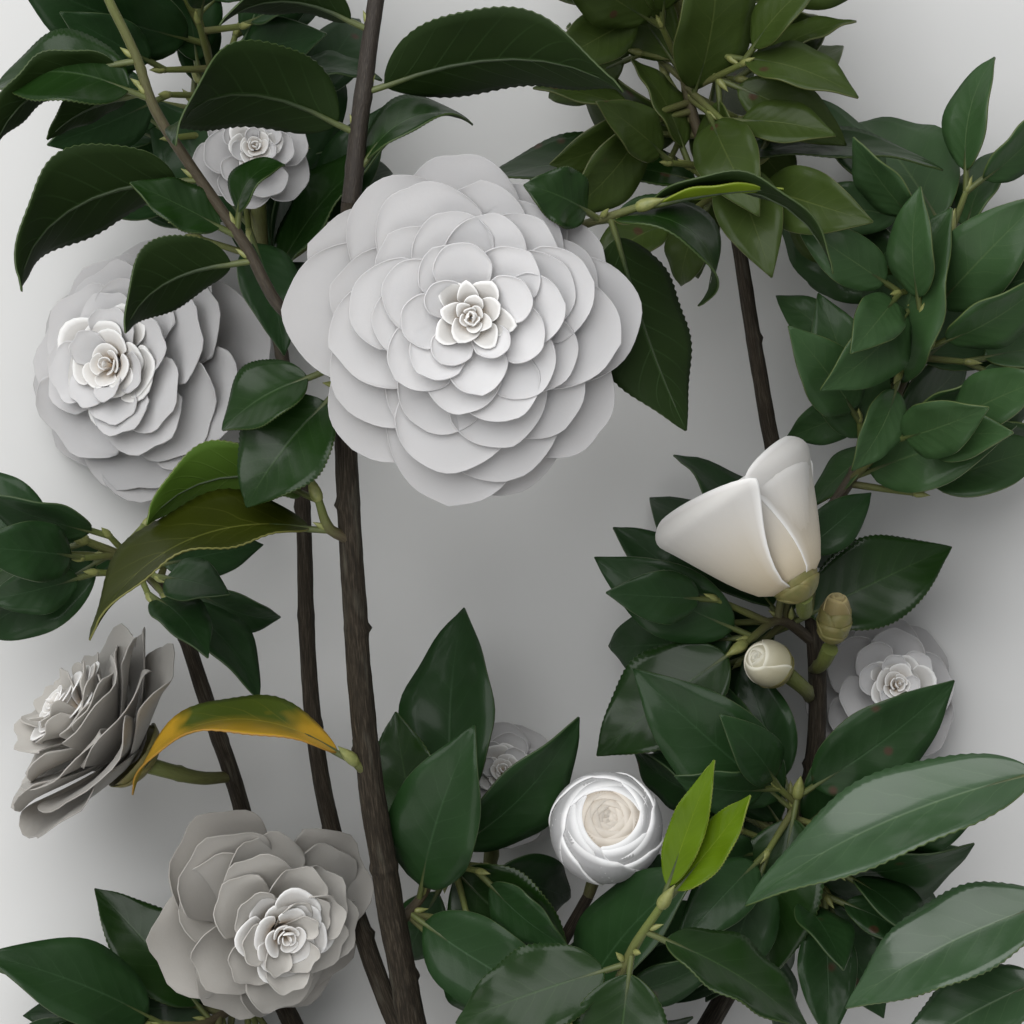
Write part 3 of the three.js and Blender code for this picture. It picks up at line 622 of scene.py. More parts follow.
def clear(samples, name, box, placed, otherRoom, sameRoom):
    # in the spray's own box, above the floor, and off the wood, the blooms and the other leaves
    low, high = np.array(box)
    if (samples < low).any() or (samples > high).any() or (samples[:, 2] <= leafPlan["floor"]).any():
        return False
    others = woodNames != name
    apart = np.linalg.norm(samples[:, None] - woodPoints[None, others], axis=2)
    if (apart <= woodSizes[others] + leafPlan["woodRoom"]).any():
        return False
    for bloom in [*blooms.values(), *globes.values()]:
        local = samples - np.array(bloom["back"])
        height = local @ unit(bloom["faces"])
        distance = np.linalg.norm(local - height[:, None] * unit(bloom["faces"]), axis=1)
        ends = leafPlan["bloomEnds"]
        inside = (height >= -ends) & (height <= bloom["depth"] + ends)
        if (inside & (distance <= bloom["radius"] + leafPlan["bloomRoom"])).any():
            return False
    for entry in placed:
        room = sameRoom if entry["spray"] == name else otherRoom
        if (np.linalg.norm(samples[:, None] - entry["samples"][None], axis=2) <= room).any():
            return False
    return True


def placeLeaves():
    placed = []
    for name, spray in sprays.items():
        for leaf in spray["leaves"]:
            base = pathPoint(spray["path"], leaf[0])
            placed.append({"spray": name, "leaf": leaf, "base": base, "near": True,
                           "samples": bladeSamples(base, leaf)})
    for name, spray in sprays.items():
        if "seeded" not in spray:
            continue
        room = spray["seeded"][3]
        for leaf in seededLeaves(spray):
            base = pathPoint(spray["path"], leaf[0])
            samples = bladeSamples(base, leaf)
            if room and clear(samples, name, spray["seeded"][4], placed,
                              leafPlan["otherRoom"], leafPlan["sameRoom"]):
                placed.append({"spray": name, "leaf": leaf, "base": base, "near": False,
                               "samples": samples})
                room -= 1
    return placed


def overBloom(samples):
    # whether a leaf would lie over a bloom, seen from above
    for bloom in [*blooms.values(), *globes.values()]:
        middle = np.array(bloom["back"]) + 0.5 * bloom["depth"] * unit(bloom["faces"])
        beside = np.linalg.norm((samples - middle)[:, :2], axis=1)
        if ((beside < bloom["radius"]) & (samples[:, 2] > bloom["back"][2])).any():
            return True
    return False


def fineTwigs(placed):
    # finer twigs than the source's, each with a small leaf or two, in the room that is left
    twigs = []
    for number, (name, spray) in enumerate(sprays.items()):
        if "seeded" not in spray:
            continue
        dice = random.Random(leafPlan["seed"] + number)
        for attempt in range(leafPlan["tries"]):
            foot, heading, pitch, reach = (dice.uniform(*fineRange[part])
                                           for part in ("foot", "heading", "pitch", "reach"))
            foot = pathPoint(spray["path"], foot)
            turn, lift = math.radians(heading), math.radians(pitch)
            flat = math.cos(lift)
            way = np.array((math.cos(turn) * flat, math.sin(turn) * flat, math.sin(lift)))
            tip = foot + way * reach + up * 0.06 * reach
            leaves = []
            for hand in (-1, 1):
                length = dice.uniform(*leafRange["length"]) * leafPlan["smallShare"]
                spread, rise, width, bend, roll = (dice.uniform(*fineRange[part])
                                                   for part in ("spread", "rise", "width", "bend", "roll"))
                leaves.append((1, heading + hand * spread, pitch + rise, length, length * width, bend,
                               -hand * roll, 0, 0))
            fitted = []
            for leaf in leaves:
                samples = bladeSamples(tip, leaf)
                if not overBloom(samples) and clear(samples, name, spray["seeded"][4], placed,
                                                    leafPlan["smallRoom"], leafPlan["smallRoom"]):
                    fitted.append({"spray": name, "leaf": leaf, "base": tip, "near": False,
                                   "samples": samples})
            if fitted:
                placed.extend(fitted)
                twigs.append((name, [foot, foot + way * reach * 0.5, tip]))
    return twigs


placedLeaves = placeLeaves()
sourceCount = len(placedLeaves)
finerTwigs = fineTwigs(placedLeaves)
print(f"placed {sourceCount} leaves of the source and {len(placedLeaves) - sourceCount} smaller ones")


# Bark, twigs and stalks: one tree grows wood with relief along every path

def woodTree():
    def build(sheet, entry):
        curve = sheet.make("GeometryNodeMeshToCurve", values={"Mesh": entry})
        circle = sheet.make("GeometryNodeCurvePrimitiveCircle",
                            values={"Resolution": entry.of("Sides"), "Radius": 1.0})
        circle = sheet.store(circle, "around", sheet.make("GeometryNodeSplineParameter"), "FLOAT")
        thick = sheet.attribute("thick")
        shape = sheet.make("GeometryNodeCurveToMesh", values={
            "Curve": curve, "Profile Curve": circle, "Scale": thick, "Fill Caps": True})
        angle = sheet.attribute("around") * (2 * math.pi)
        along = sheet.attribute("along")
        grain = sheet.vector(angle.cosine(), angle.sine(), along * entry.of("Fibre"))
        shape = sheet.store(shape, "grain", grain)
        # long ridges, a broad unevenness, and the scars where leaves once stood
        ridges = sheet.noise(grain, 3.2, 3.0, 0.6) - 0.5
        broad = sheet.noise(grain, 0.9, 1.0) - 0.5
        place = along * entry.of("Scars") + sheet.attribute("age") * 0.37
        scar = (1 - (place.fraction() - 0.5).size() * 16).atLeast(0)
        facing = (angle + (place - place.fraction()) * 2.4).sine() * 0.5 + 0.6
        height = ridges * 0.16 + broad * 0.3 + scar * scar * facing * 0.3
        normal = sheet.make("GeometryNodeInputNormal")
        offset = sheet.make("ShaderNodeVectorMath", {"operation": "SCALE"},
                            {"Vector": normal, "Scale": height * thick * entry.of("Relief")})
        return sheet.make("GeometryNodeSetPosition", values={"Geometry": shape, "Offset": offset})

    inputs = {"Sides": 8, "Fibre": 1.0, "Scars": 1.0, "Relief": 1.0, "Material": None}
    return growthTree("woodGrowth", inputs, build)


def pathsMesh(name, paths):
    # one chain of edges for each path of points, radii and ages
    points, edges, thick, along, age = [], [], [], [], []
    for number, (line, radii, ages) in enumerate(paths):
        first = len(points)
        lengths = np.r_[0, np.cumsum(np.linalg.norm(np.diff(line, axis=0), axis=1))]
        points.extend(toWorld(line))
        thick.extend(np.asarray(radii) * 0.001)
        along.extend(lengths * 0.001 + number * 0.731)
        age.extend(np.linspace(ages[0], ages[1], len(line)))
        edges.extend((first + step, first + step + 1) for step in range(len(line) - 1))
    mesh = bpy.data.meshes.new(name)
    mesh.from_pydata([tuple(point) for point in points], edges, [])
    for label, values in (("thick", thick), ("along", along), ("age", age)):
        mark(mesh, label, values)
    return mesh


barkLook = {
    "dark": (0.008, 0.006, 0.003), "middle": (0.022, 0.016, 0.009), "light": (0.080, 0.064, 0.044),
    "lichen": (0.11, 0.105, 0.08), "roughness": 0.82,
}


def barkRecipe(sheet):
    grain = sheet.mark("grain")
    stretched = sheet.make("ShaderNodeMapping", values={"Vector": grain, "Scale": (1, 1, 0.35)})
    fibres = sheet.noise(stretched, 9.0, 5.0, 0.65)
    patches = sheet.noise(grain, 1.1, 2.0)
    fine = sheet.noise(stretched, 34.0, 3.0, 0.6)
    colour = sheet.make("ShaderNodeValToRGB", {"stops": [
        (0.3, barkLook["dark"]), (0.5, barkLook["middle"]), (0.74, barkLook["light"])]}, {"Fac": fibres})
    grey = ((patches - 0.56) * 5).held() * (fine * 0.9)
    return {
        "Base Color": sheet.mix(grey, colour, barkLook["lichen"]),
        "Roughness": barkLook["roughness"] - fibres * 0.16, "Specular IOR Level": 0.3,
        "Normal": sheet.bump(fibres + fine * 0.6, 0.55, 0.0006),
    }


twigLook = {
    "bark": (0.020, 0.014, 0.009), "brown": (0.060, 0.045, 0.020), "green": (0.13, 0.165, 0.030),
    "fibre": (0.085, 0.070, 0.050), "roughness": 0.7,
}


def twigRecipe(sheet):
    grain = sheet.mark("grain")
    age = sheet.mark("age", "Fac")
    fibres = sheet.noise(grain, 6.0, 4.0, 0.6)
    stage = (age + (fibres - 0.5) * 0.5).held()
    colour = sheet.make("ShaderNodeValToRGB", {"stops": [
        (0.12, twigLook["bark"]), (0.5, twigLook["brown"]), (0.95, twigLook["green"])]}, {"Fac": stage})
    return {
        "Base Color": sheet.mix(((fibres - 0.5) * 2).atLeast(0), colour, twigLook["fibre"]),
        "Roughness": twigLook["roughness"] - fibres * 0.16,
        "Normal": sheet.bump(fibres, 0.5, 0.0005),
    }


wood = woodTree()
barkMaterial = material("bark", barkRecipe)
twigMaterial = material("twig", twigRecipe)

# the space between the points of a path, the sides of the wood and the settings of its relief
woodPlan = {
    "bark_main_stem": {"step": 1.0, "Sides": 40, "Fibre": 60.0, "Scars": 29.0, "Relief": 1.0},
    "bark_boughs": {"step": 1.6, "Sides": 20, "Fibre": 60.0, "Scars": 33.0, "Relief": 1.0},
    "twigs": {"step": 1.8, "fineStep": 2.5, "stalkStep": 1.5, "Sides": 10, "Fibre": 90.0, "Scars": 55.0,
              "Relief": 0.8},
}
oldWood, newWood = (0, 0), (0.6, 0.9)  # the age at the foot and tip, where 1 is a green shoot
fineRadius = (1.1, 0.8)


def woodPiece(name, paths, look, nodes):
    # each path has its points, its radii, the space between its points and its ages
    lines = [(*sampled(path, radius, step), ages) for path, radius, step, ages in paths]
    piece = grow(name, pathsMesh(name, lines), wood, {**woodPlan[name], "Material": look})
    finish(plain(piece), "bark", *nodes)


boughNames = [name for name in limbs if name != "main_stem"]
for name, nodes in (("bark_main_stem", ["main_stem"]), ("bark_boughs", boughNames)):
    woodPiece(name, [(limbs[node]["path"], limbs[node]["radius"], woodPlan[name]["step"], oldWood)
                     for node in nodes], barkMaterial, nodes)
twigPlan = woodPlan["twigs"]
twigPaths = [(spray["path"], spray["radius"], twigPlan["step"], spray["age"]) for spray in sprays.values()]
twigPaths += [(path, fineRadius, twigPlan["fineStep"], newWood) for name, path in finerTwigs]
twigPaths += [(stalkPath(bloom), stalkRadius, twigPlan["stalkStep"], newWood)
              for bloom in [*blooms.values(), *globes.values()]]
woodPiece("twigs", twigPaths, twigMaterial, sprays)
print("bark and twigs are grown")


# Leaves: a folded sheet for each, thickened with its own underside and pale margin

leafTones = {
    # the first tone is the near leaves' green darkened as painted shade; its underside is set darker than
    # its top as painted shade, where a real underside is paler
    "deep": {"top": (0.009, 0.029, 0.004), "vein": (0.034, 0.070, 0.020), "under": (0.010, 0.023, 0.003),
             "margin": (0.042, 0.075, 0.012), "gloss": 0.2, "roughness": 0.34},
    # the next tone is the same leaf lightened as painted sheen from the sky, besides its stronger gloss
    "sheen": {"top": (0.030, 0.068, 0.026), "vein": (0.085, 0.14, 0.065), "under": (0.022, 0.048, 0.016),
              "margin": (0.09, 0.14, 0.04), "gloss": 0.55, "roughness": 0.36},
    "back": {"top": (0.013, 0.038, 0.010), "vein": (0.030, 0.068, 0.026), "under": (0.018, 0.042, 0.012),
             "margin": (0.04, 0.075, 0.02), "gloss": 0.14, "roughness": 0.40},
    "pale": {"top": (0.030, 0.068, 0.022), "vein": (0.065, 0.11, 0.04), "under": (0.040, 0.080, 0.020),
             "margin": (0.08, 0.12, 0.03), "gloss": 0.14, "roughness": 0.42},
    "mossy": {"top": (0.034, 0.056, 0.010), "vein": (0.075, 0.10, 0.025), "under": (0.042, 0.068, 0.013),
              "margin": (0.09, 0.11, 0.025), "gloss": 0.1, "roughness": 0.42},
    "fresh": {"top": (0.034, 0.080, 0.008), "vein": (0.09, 0.15, 0.03), "under": (0.050, 0.10, 0.010),
              "margin": (0.13, 0.18, 0.03), "gloss": 0.12, "roughness": 0.40},
    "olive": {"top": (0.022, 0.029, 0.001), "vein": (0.10, 0.11, 0.02), "under": (0.028, 0.036, 0.002),
              "margin": (0.15, 0.15, 0.03), "gloss": 0.04, "roughness": 0.46},
    "gold": {"top": (0.46, 0.27, 0.020), "vein": (0.26, 0.21, 0.03), "under": (0.24, 0.18, 0.02),
             "margin": (0.38, 0.20, 0.02), "gloss": 0.1, "roughness": 0.44},
    "young": {"top": (0.078, 0.135, 0.002), "vein": (0.13, 0.19, 0.01), "under": (0.12, 0.18, 0.006),
              "margin": (0.22, 0.28, 0.025), "gloss": 0.06, "roughness": 0.38},
}
leafShape = {
    "thick": 0.5, "teeth": 0.034, "ripple": 0.04, "veinLift": 0.11, "veins": 8, "slant": 1.9,
    "nearGrid": (62, 10), "farGrid": (22, 6),
}
leafMarks = {
    "spots": (0.055, 0.024, 0.014),  # reddish brown, on old leaves
    "ridge": (0.055, 0.080, 0.008),  # what is still green on a turning leaf
}


def leafPlace(sheet):
    # how far along a leaf a point is, and how far from its midrib
    place = sheet.make("ShaderNodeUVMap", {"uv_map": "leafPlace"})
    along = sheet.make("ShaderNodeSeparateXYZ", values={0: place})
    return along, (along.of("Y") * 2 - 1).size()


def leafTop(tone):
    def recipe(sheet):
        along, across = leafPlace(sheet)
        spot = sheet.spot()
        mottle = sheet.noise(spot, 70.0, 2.0, 0.6)
        row = along * leafShape["veins"] - across * leafShape["slant"]
        row = row + (sheet.noise(spot, 130.0, 1.0) - 0.5) * 0.5
        vein = (1 - (row.fraction() - 0.5).size() * 22).atLeast(0) * (1 - across)
        rib = (1 - across * 26).atLeast(0) * (1.1 - along).atMost(1)
        pores = sheet.noise(spot, 1100.0, 1.0)
        shade = sheet.mix(mottle, times(tone["top"], 0.72), times(tone["top"], 1.25))
        bulge = (row * (2 * math.pi)).cosine() * -0.5
        height = bulge * (1 - rib) * 0.25 + pores * 0.2 - rib * 0.8
        if tone is leafTones["gold"]:
            # green stays along the middle of the upper side
            green = (1 - (along - 0.42).size() * 3.4 + (mottle - 0.5) * 1.6).atLeast(0) * 2.2
            shade = sheet.mix(green.atMost(1) * (along.of("Y") * 1.6).atMost(1), shade, leafMarks["ridge"])
        else:
            cell = sheet.make("ShaderNodeTexVoronoi", values={"Vector": spot, "Scale": 95.0})
            fleck = ((0.16 - cell) * 22).atLeast(0) * ((sheet.noise(spot, 9.0, 1.0) - 0.6) * 9).atLeast(0)
            shade = sheet.mix(fleck.atMost(0.8), shade, leafMarks["spots"])
        return {
            "Base Color": sheet.mix((vein * 0.4 + rib).atMost(1), shade, tone["vein"]),
            "Roughness": tone["roughness"] + mottle * 0.12,
            "Coat Weight": tone["gloss"], "Coat Roughness": 0.15,
            "Specular IOR Level": 0.12 + 0.3 * tone["gloss"],
            "Normal": sheet.bump(height, 0.28, 0.0006),
        }
    return recipe


def leafUnder(tone):
    def recipe(sheet):
        along, across = leafPlace(sheet)
        row = along * leafShape["veins"] - across * leafShape["slant"]
        vein = (1 - (row.fraction() - 0.5).size() * 14).atLeast(0) * (1 - across)
        rib = (1 - across * 20).atLeast(0)
        spot = sheet.spot()
        mottle = sheet.noise(spot, 90.0, 3.0, 0.6)
        # in the two tones of the near leaves the underside colour is set darker than the top, as painted
        # shade
        shade = sheet.mix(mottle, times(tone["under"], 0.8), times(tone["under"], 1.2))
        return {
            "Base Color": sheet.mix((vein * 0.4 + rib * 0.8).atMost(1), shade, tone["vein"]),
            "Roughness": 0.66, "Specular IOR Level": 0.15,
            "Normal": sheet.bump(vein + rib + mottle * 0.5, 0.3, 0.0005),
        }
    return recipe


def leafMargin(tone):
    def recipe(sheet):
        spot = sheet.spot()
        mottle = sheet.noise(spot, 260.0, 2.0)
        colour = sheet.mix(mottle, times(tone["margin"], 0.7), tone["margin"])
        return {"Base Color": colour, "Roughness": 0.5}
    return recipe


def leafSheet(entry, dice):
    # the upper face of one leaf: rows of points along it, with their place on the leaf
    leaf = entry["leaf"]
    length, width = leaf[3], leaf[4]
    points, _, faces, sides = midrib(entry["base"], leaf)
    rows, columns = leafShape["nearGrid"] if entry["near"] else leafShape["farGrid"]
    shares = np.linspace(0, 1, rows + 1)
    steps = np.linspace(0, 1, len(points))
    middle, face, side = (np.array([np.interp(shares, steps, part[:, axis]) for axis in range(3)]).T
                          for part in (points, faces, sides))
    half = np.maximum(bladeHalf(shares, width), 0.35)
    half[-1] = 0.12
    across = np.linspace(-1, 1, columns + 1)
    # every other row is drawn in at the rim, which gives the near leaves fine teeth
    teeth = leafShape["teeth"] * (np.arange(rows + 1) % 2) * (shares > 0.12)
    if not entry["near"]:
        teeth = 0 * shares
    waves, phase = dice.uniform(1.6, 3.0), dice.uniform(0, 6.28)
    vertices = []
    for number, share in enumerate(shares):
        fade = math.sin(math.pi * min(share * 1.05, 1)) ** 0.5 if 0 < share < 0.95 else 0
        for place in across:
            edge = abs(place)
            reach = half[number] * place * (1 - teeth[number] * (edge > 0.99))
            # folded at the midrib, wavy at the rim and raised between the veins
            lift = leafPlan["fold"] * half[number] * (edge ** 1.25 + 0.25 * edge ** 3)
            lift += leafShape["ripple"] * width * fade * edge ** 2 * math.sin(
                2 * math.pi * waves * share + phase + (0 if place > 0 else 2.1))
            row = share * leafShape["veins"] - edge * leafShape["slant"]
            lift -= leafShape["veinLift"] * fade * math.cos(2 * math.pi * row) * edge * (1 - edge) * 1.6
            vertices.append(middle[number] + side[number] * reach + face[number] * lift)
    uv = [(share, (place + 1) / 2) for share in shares for place in across]
    return vertices, gridFaces(0, rows, columns, flipped=True), uv


def leafPiece(name, entries, tones, seed):
    dice = random.Random(seed)
    vertices, quads, uvs, marks = [], [], [], []
    for entry in entries:
        sheet, faces, uv = leafSheet(entry, dice)
        first = len(vertices)
        vertices.extend(sheet)
        uvs.extend(uv)
        quads.extend(tuple(first + corner for corner in face) for face in faces)
        marks.extend([3 * tones.index(entry["tone"])] * len(faces))
    mesh = bpy.data.meshes.new(name)
    mesh.from_pydata([tuple(point) for point in toWorld(vertices)], [], quads)
    layer = mesh.uv_layers.new(name="leafPlace")
    corners = np.empty(len(mesh.loops), int)
    mesh.loops.foreach_get("vertex_index", corners)
    layer.data.foreach_set("uv", np.array(uvs)[corners].ravel())
    mesh.polygons.foreach_set("material_index", marks)
    for tone in tones:
        for part in ("top", "under", "margin"):
            mesh.materials.append(leafMaterials[tone, part])
    piece = newPiece(name, mesh)
    body = walled(piece, leafShape["thick"], -1)
    body.material_offset = 1
    body.material_offset_rim = 2
    return plain(piece)


leafMaterials = {}
for toneName, tone in leafTones.items():
    for part, recipe in (("top", leafTop), ("under", leafUnder), ("margin", leafMargin)):
        leafMaterials[toneName, part] = material(f"leaf_{toneName}_{part}", recipe(tone))

# the background tones, dealt out by spray
sprayTones = {name: "back" for name, spray in sprays.items() if "seeded" in spray}
sprayTones.update(spray_right_side="pale", spray_right_top="mossy")
for entry in placedLeaves:
    leaf = entry["leaf"]
    # near leaves without a tone of their own take the tone darkened as painted shade
    entry["tone"] = leaf[9] if len(leaf) > 9 else "deep" if entry["near"] else sprayTones[entry["spray"]]
    # the right front spray's leaves take the copy lightened as painted sheen
    if entry["spray"] == "spray_right_front":
        entry["tone"] = "sheen"
frontLeaves = [entry for entry in placedLeaves if entry["tone"] in ("deep", "sheen")]
backLeaves = [entry for entry in placedLeaves if entry["tone"] in sprayTones.values()]
backSprays = [name for name, spray in sprays.items() if "seeded" in spray]
finish(leafPiece("leaves_front", frontLeaves, ("deep", "sheen"), 31), "leaf",
       *[name for name in sprays if name not in backSprays and name != "spray_gold"])
finish(leafPiece("leaves_back", backLeaves, ("back", "pale", "mossy"), 32), "leaf", *backSprays)
for pieceName, toneName, slot, nodes in (
        ("leaf_fresh", "fresh", "leaf", ("spray_mid_left",)),
        ("leaf_olive", "olive", "leaf", ("spray_mid_left",)),
        ("leaf_gold", "gold", "gold_leaf", ("spray_gold",)),
        ("leaves_young", "young", "young_leaf", ("spray_shoot", "spray_upper_right"))):
    entries = [entry for entry in placedLeaves if entry["tone"] == toneName]
    finish(leafPiece(pieceName, entries, (toneName,), 33), slot, *nodes)

ribLook = {"foot": (0.11, 0.13, 0.035), "tip": (0.020, 0.038, 0.008)}
ribPlan = {
    "steps": range(0, 22, 3),  # the steps of the midrib that it follows
    "foot": 0.9, "grown": 0.72, "least": 0.14,  # its radius in the twig, and along the blade
    "sink": 0.5, "Sides": 6, "Fibre": 90.0, "Scars": 0.0, "Relief": 0.3,
}


def ribRecipe(sheet):
    grain = sheet.mark("grain")
    age = sheet.mark("age", "Fac")
    fibres = sheet.noise(grain, 6.0, 3.0)
    colour = sheet.mix(((age + (fibres - 0.5) * 0.3) * 3.4).held(), ribLook["foot"], ribLook["tip"])
    return {"Base Color": colour, "Roughness": 0.5, "Normal": sheet.bump(fibres, 0.25, 0.0003)}


# petioles, which run on below the blade as its raised midrib
ribs = []
for entry in placedLeaves:
    points, ways, faces, _ = midrib(entry["base"], entry["leaf"])
    sink = ribPlan["sink"]
    line = [np.asarray(entry["base"]) - ways[0] * sink,
            *[points[step] - faces[step] * sink for step in ribPlan["steps"]]]
    radii = [ribPlan["foot"], *[ribPlan["grown"] * (1 - step / leafPlan["steps"]) ** 2 + ribPlan["least"]
                                for step in ribPlan["steps"]]]
    ribs.append((np.array(line), np.array(radii), (0.0, 1.0)))
ribPiece = grow("petioles", pathsMesh("petioles", ribs), wood,
                {**ribPlan, "Material": material("petiole", ribRecipe)})
finish(plain(ribPiece), "leaf")
print("leaves are grown")


# Leaf buds at the twig tips and in the leaf axils

def budTree():
    def build(sheet, entry):
        line = sheet.make("GeometryNodeCurvePrimitiveLine", values={"Start": (0, 0, 0), "End": (0, 0, 1)})
        line = sheet.make("GeometryNodeResampleCurve", values={"Curve": line, "Count": entry.of("Rings")})
        share = sheet.make("GeometryNodeSplineParameter")
        girth = (share ** 0.62 * math.pi).sine().atLeast(0.02) * entry.of("Girth")
        ring = sheet.make("GeometryNodeCurvePrimitiveCircle", values={"Resolution": 7, "Radius": 1.0})
        spindle = sheet.make("GeometryNodeCurveToMesh", values={
            "Curve": line, "Profile Curve": ring, "Scale": girth, "Fill Caps": True})
        turn = sheet.make("FunctionNodeAlignRotationToVector", {"axis": "Z"},
                          {"Vector": sheet.attribute("way", "FLOAT_VECTOR")})
        return sheet.make("GeometryNodeInstanceOnPoints", values={
            "Points": entry, "Instance": spindle, "Rotation": turn, "Scale": sheet.attribute("size")})

    return growthTree("budGrowth", {"Rings": 8, "Girth": 0.2, "Material": None}, build)


def budRecipe(sheet):
    spot = sheet.spot()
    scales = sheet.noise(spot, 700.0, 2.0)
    return {
        "Base Color": sheet.mix(scales, budPlan["dark"], budPlan["light"]),
        "Roughness": 0.45, "Normal": sheet.bump(scales, 0.4, 0.0004),
    }


# the length of a bud at the tip of a spray, of a finer twig and in an axil, and its two greens
budPlan = {"tip": 9.0, "fineTip": 5.5, "axil": 4.5,
           "dark": (0.12, 0.15, 0.04), "light": (0.30, 0.30, 0.10)}
budRows = []
for name, spray in sprays.items():
    way = pathTangent(spray["path"], 1)
    budRows.append((pathPoint(spray["path"], 1) - way, way, budPlan["tip"]))
for name, path in finerTwigs:
    way = unit(path[2] - path[1])
    budRows.append((path[2] - way * 0.5, way, budPlan["fineTip"]))
for entry in placedLeaves[:sourceCount]:
    if entry["leaf"][0] < 0.9:
        tangent = pathTangent(sprays[entry["spray"]]["path"], entry["leaf"][0])
        _, ways, _, _ = midrib(entry["base"], entry["leaf"])
        way = unit(tangent + ways[0] * 0.8)
        budRows.append((entry["base"] + way * 1.2, way, budPlan["axil"]))
budMesh = bpy.data.meshes.new("leaf_buds")
budMesh.from_pydata([tuple(toWorld(row[0])) for row in budRows], [], [])
mark(budMesh, "way", [row[1] for row in budRows])
mark(budMesh, "size", [row[2] * 0.001 for row in budRows])
buds = grow("leaf_buds", budMesh, budTree(),
            {"Rings": 8, "Girth": 0.2, "Material": material("leaf_bud", budRecipe)})
finish(plain(buds), "young_leaf")


# Blooms: petals a golden angle apart, in bowls that nest from the back to the heart

def petalTree():
    def build(sheet, entry):
        grid = sheet.make("GeometryNodeMeshGrid", values={
            "Size X": 1.0, "Size Y": 2.0,
            "Vertices X": entry.of("Rows"), "Vertices Y": entry.of("Columns")})
        petals = sheet.make("GeometryNodeInstanceOnPoints", values={"Points": entry, "Instance": grid})
        petals = sheet.make("GeometryNodeRealizeInstances", values={"Geometry": petals})
        spot = sheet.make("ShaderNodeSeparateXYZ", values={0: sheet.make("GeometryNodeInputPosition")})
        # rows and columns close up towards the rim
        before = 0.5 - spot
        share = 1 - before * before
        place = (spot.of("Y") * (math.pi / 2)).sine()
        edge = place * place
        reach, width = sheet.attribute("reach"), sheet.attribute("width")
        phase, point, lean = (sheet.attribute(name) for name in ("phase", "point", "lean"))
        # a wedge that widens to a round tip, which may be drawn to a point or a dent
        half = (share ** 0.9 * (math.pi / 2)).sine() * (1 - entry.of("Foot")) + entry.of("Foot")
        half = half * width * 0.5
        drop = 1 - (1 - edge * 0.97) ** 0.5
        apex = (1 - place.size() * 2.4).atLeast(0)
        waves = (place * 6.5 + phase).sine() * share ** 6 * entry.of("Ruffle") * 0.5
        along = reach * (share - drop * share * share * entry.of("Roundness")
                         + apex * apex * point * share ** 7 + place * lean * share * share + waves)
        across = half * place
        distance = (along * along + across * across) ** 0.5
        root, height = sheet.attribute("root"), sheet.attribute("height")
        bowl = root + (height - root) * (distance / sheet.attribute("span")) ** sheet.attribute("cup")
        ruffle = (place * 5.2 + phase).sine() * share ** 3 * edge.atMost(1) * reach * entry.of("Ruffle")
        ruffle = ruffle + (place * 2.3 + phase * 1.7).sine() * share ** 2 * reach * entry.of("Ruffle") * 0.7
        hollow = edge * half * entry.of("Hollow") * share
        rolled = (share - 0.72).atLeast(0) ** 2 * reach * sheet.attribute("roll")
        reflex = distance ** 3 / sheet.attribute("span") ** 2 * entry.of("Reflex")
        rim = (share.atLeast(place.size()) - 0.9).atLeast(0) * 10
        level = bowl + ruffle + hollow + rolled - reflex + sheet.attribute("tilt") * along
        level = level + rim * rim * entry.of("Lip")
        turn = sheet.attribute("azimuth")
        cosine, sine = turn.cosine(), turn.sine()
        position = sheet.vector(along * cosine - across * sine, along * sine + across * cosine, level)
        petals = sheet.make("GeometryNodeSetPosition", values={"Geometry": petals, "Position": position})
        shown = sheet.vector(share, place * 0.5 + 0.5, sheet.attribute("ring"))
        return sheet.store(petals, "petalPlace", shown)

    return growthTree("petalGrowth", {"Rows": 16, "Columns": 18, "Foot": 0.3, "Roundness": 0.42,
                                      "Ruffle": 0.02, "Hollow": 0.1, "Reflex": 0.05, "Lip": 0.0004,
                                      "Material": None}, build)


petalPlan = {
    "bloom_main": {
        "petals": 60, "ruffle": 0.013, "hollow": 0.05, "jitter": 0, "roll": 0.0, "tilt": 0.0, "bowl": 0.8,
        "reflex": 0.07, "wide": (0.74, 0.8), "point": 0.018, "look": "white"},
    "bloom_left_upper": {
        "petals": 34, "ruffle": 0.055, "hollow": 0.16, "jitter": 16, "roll": -0.6, "tilt": 0.1, "bowl": 0.8,
        "reflex": 0.06, "wide": (1.15, 0.84), "point": 0.0, "look": "white"},
    "bloom_left_lower": {
        "petals": 32, "ruffle": 0.08, "hollow": 0.16, "jitter": 18, "roll": -0.9, "tilt": 0.12, "bowl": 1.2,
        "reflex": 0.04, "wide": (1.25, 0.84), "point": 0.0, "look": "shaded_white"},
    "bloom_bottom": {
        "petals": 34, "ruffle": 0.065, "hollow": 0.2, "jitter": 18, "roll": -0.6, "tilt": 0.12, "bowl": 0.8,
        "reflex": 0.05, "wide": (1.0, 0.8), "point": 0.0, "look": "shaded_white"},
}
farBloom = {
    "petals": 22, "ruffle": 0.03, "hollow": 0.1, "jitter": 8, "roll": 0.0, "tilt": 0.02, "bowl": 0.9,
    "reflex": 0.04, "wide": (1.0, 0.8), "point": 0.0, "look": "white"}
petalPlan.update(bloom_right_low=farBloom, bloom_back_mid=farBloom,
                 bloom_back_top={**farBloom, "petals": 20})
petalBody = {
    "thick": 0.32, "heart": 0.36, "rows": 17, "columns": 21, "farRows": 12, "farColumns": 15,
    "foot": 0.3, "roundness": 0.42, "lip": 0.0004,  # the lip in metres
    "flatShare": 0.88,
}
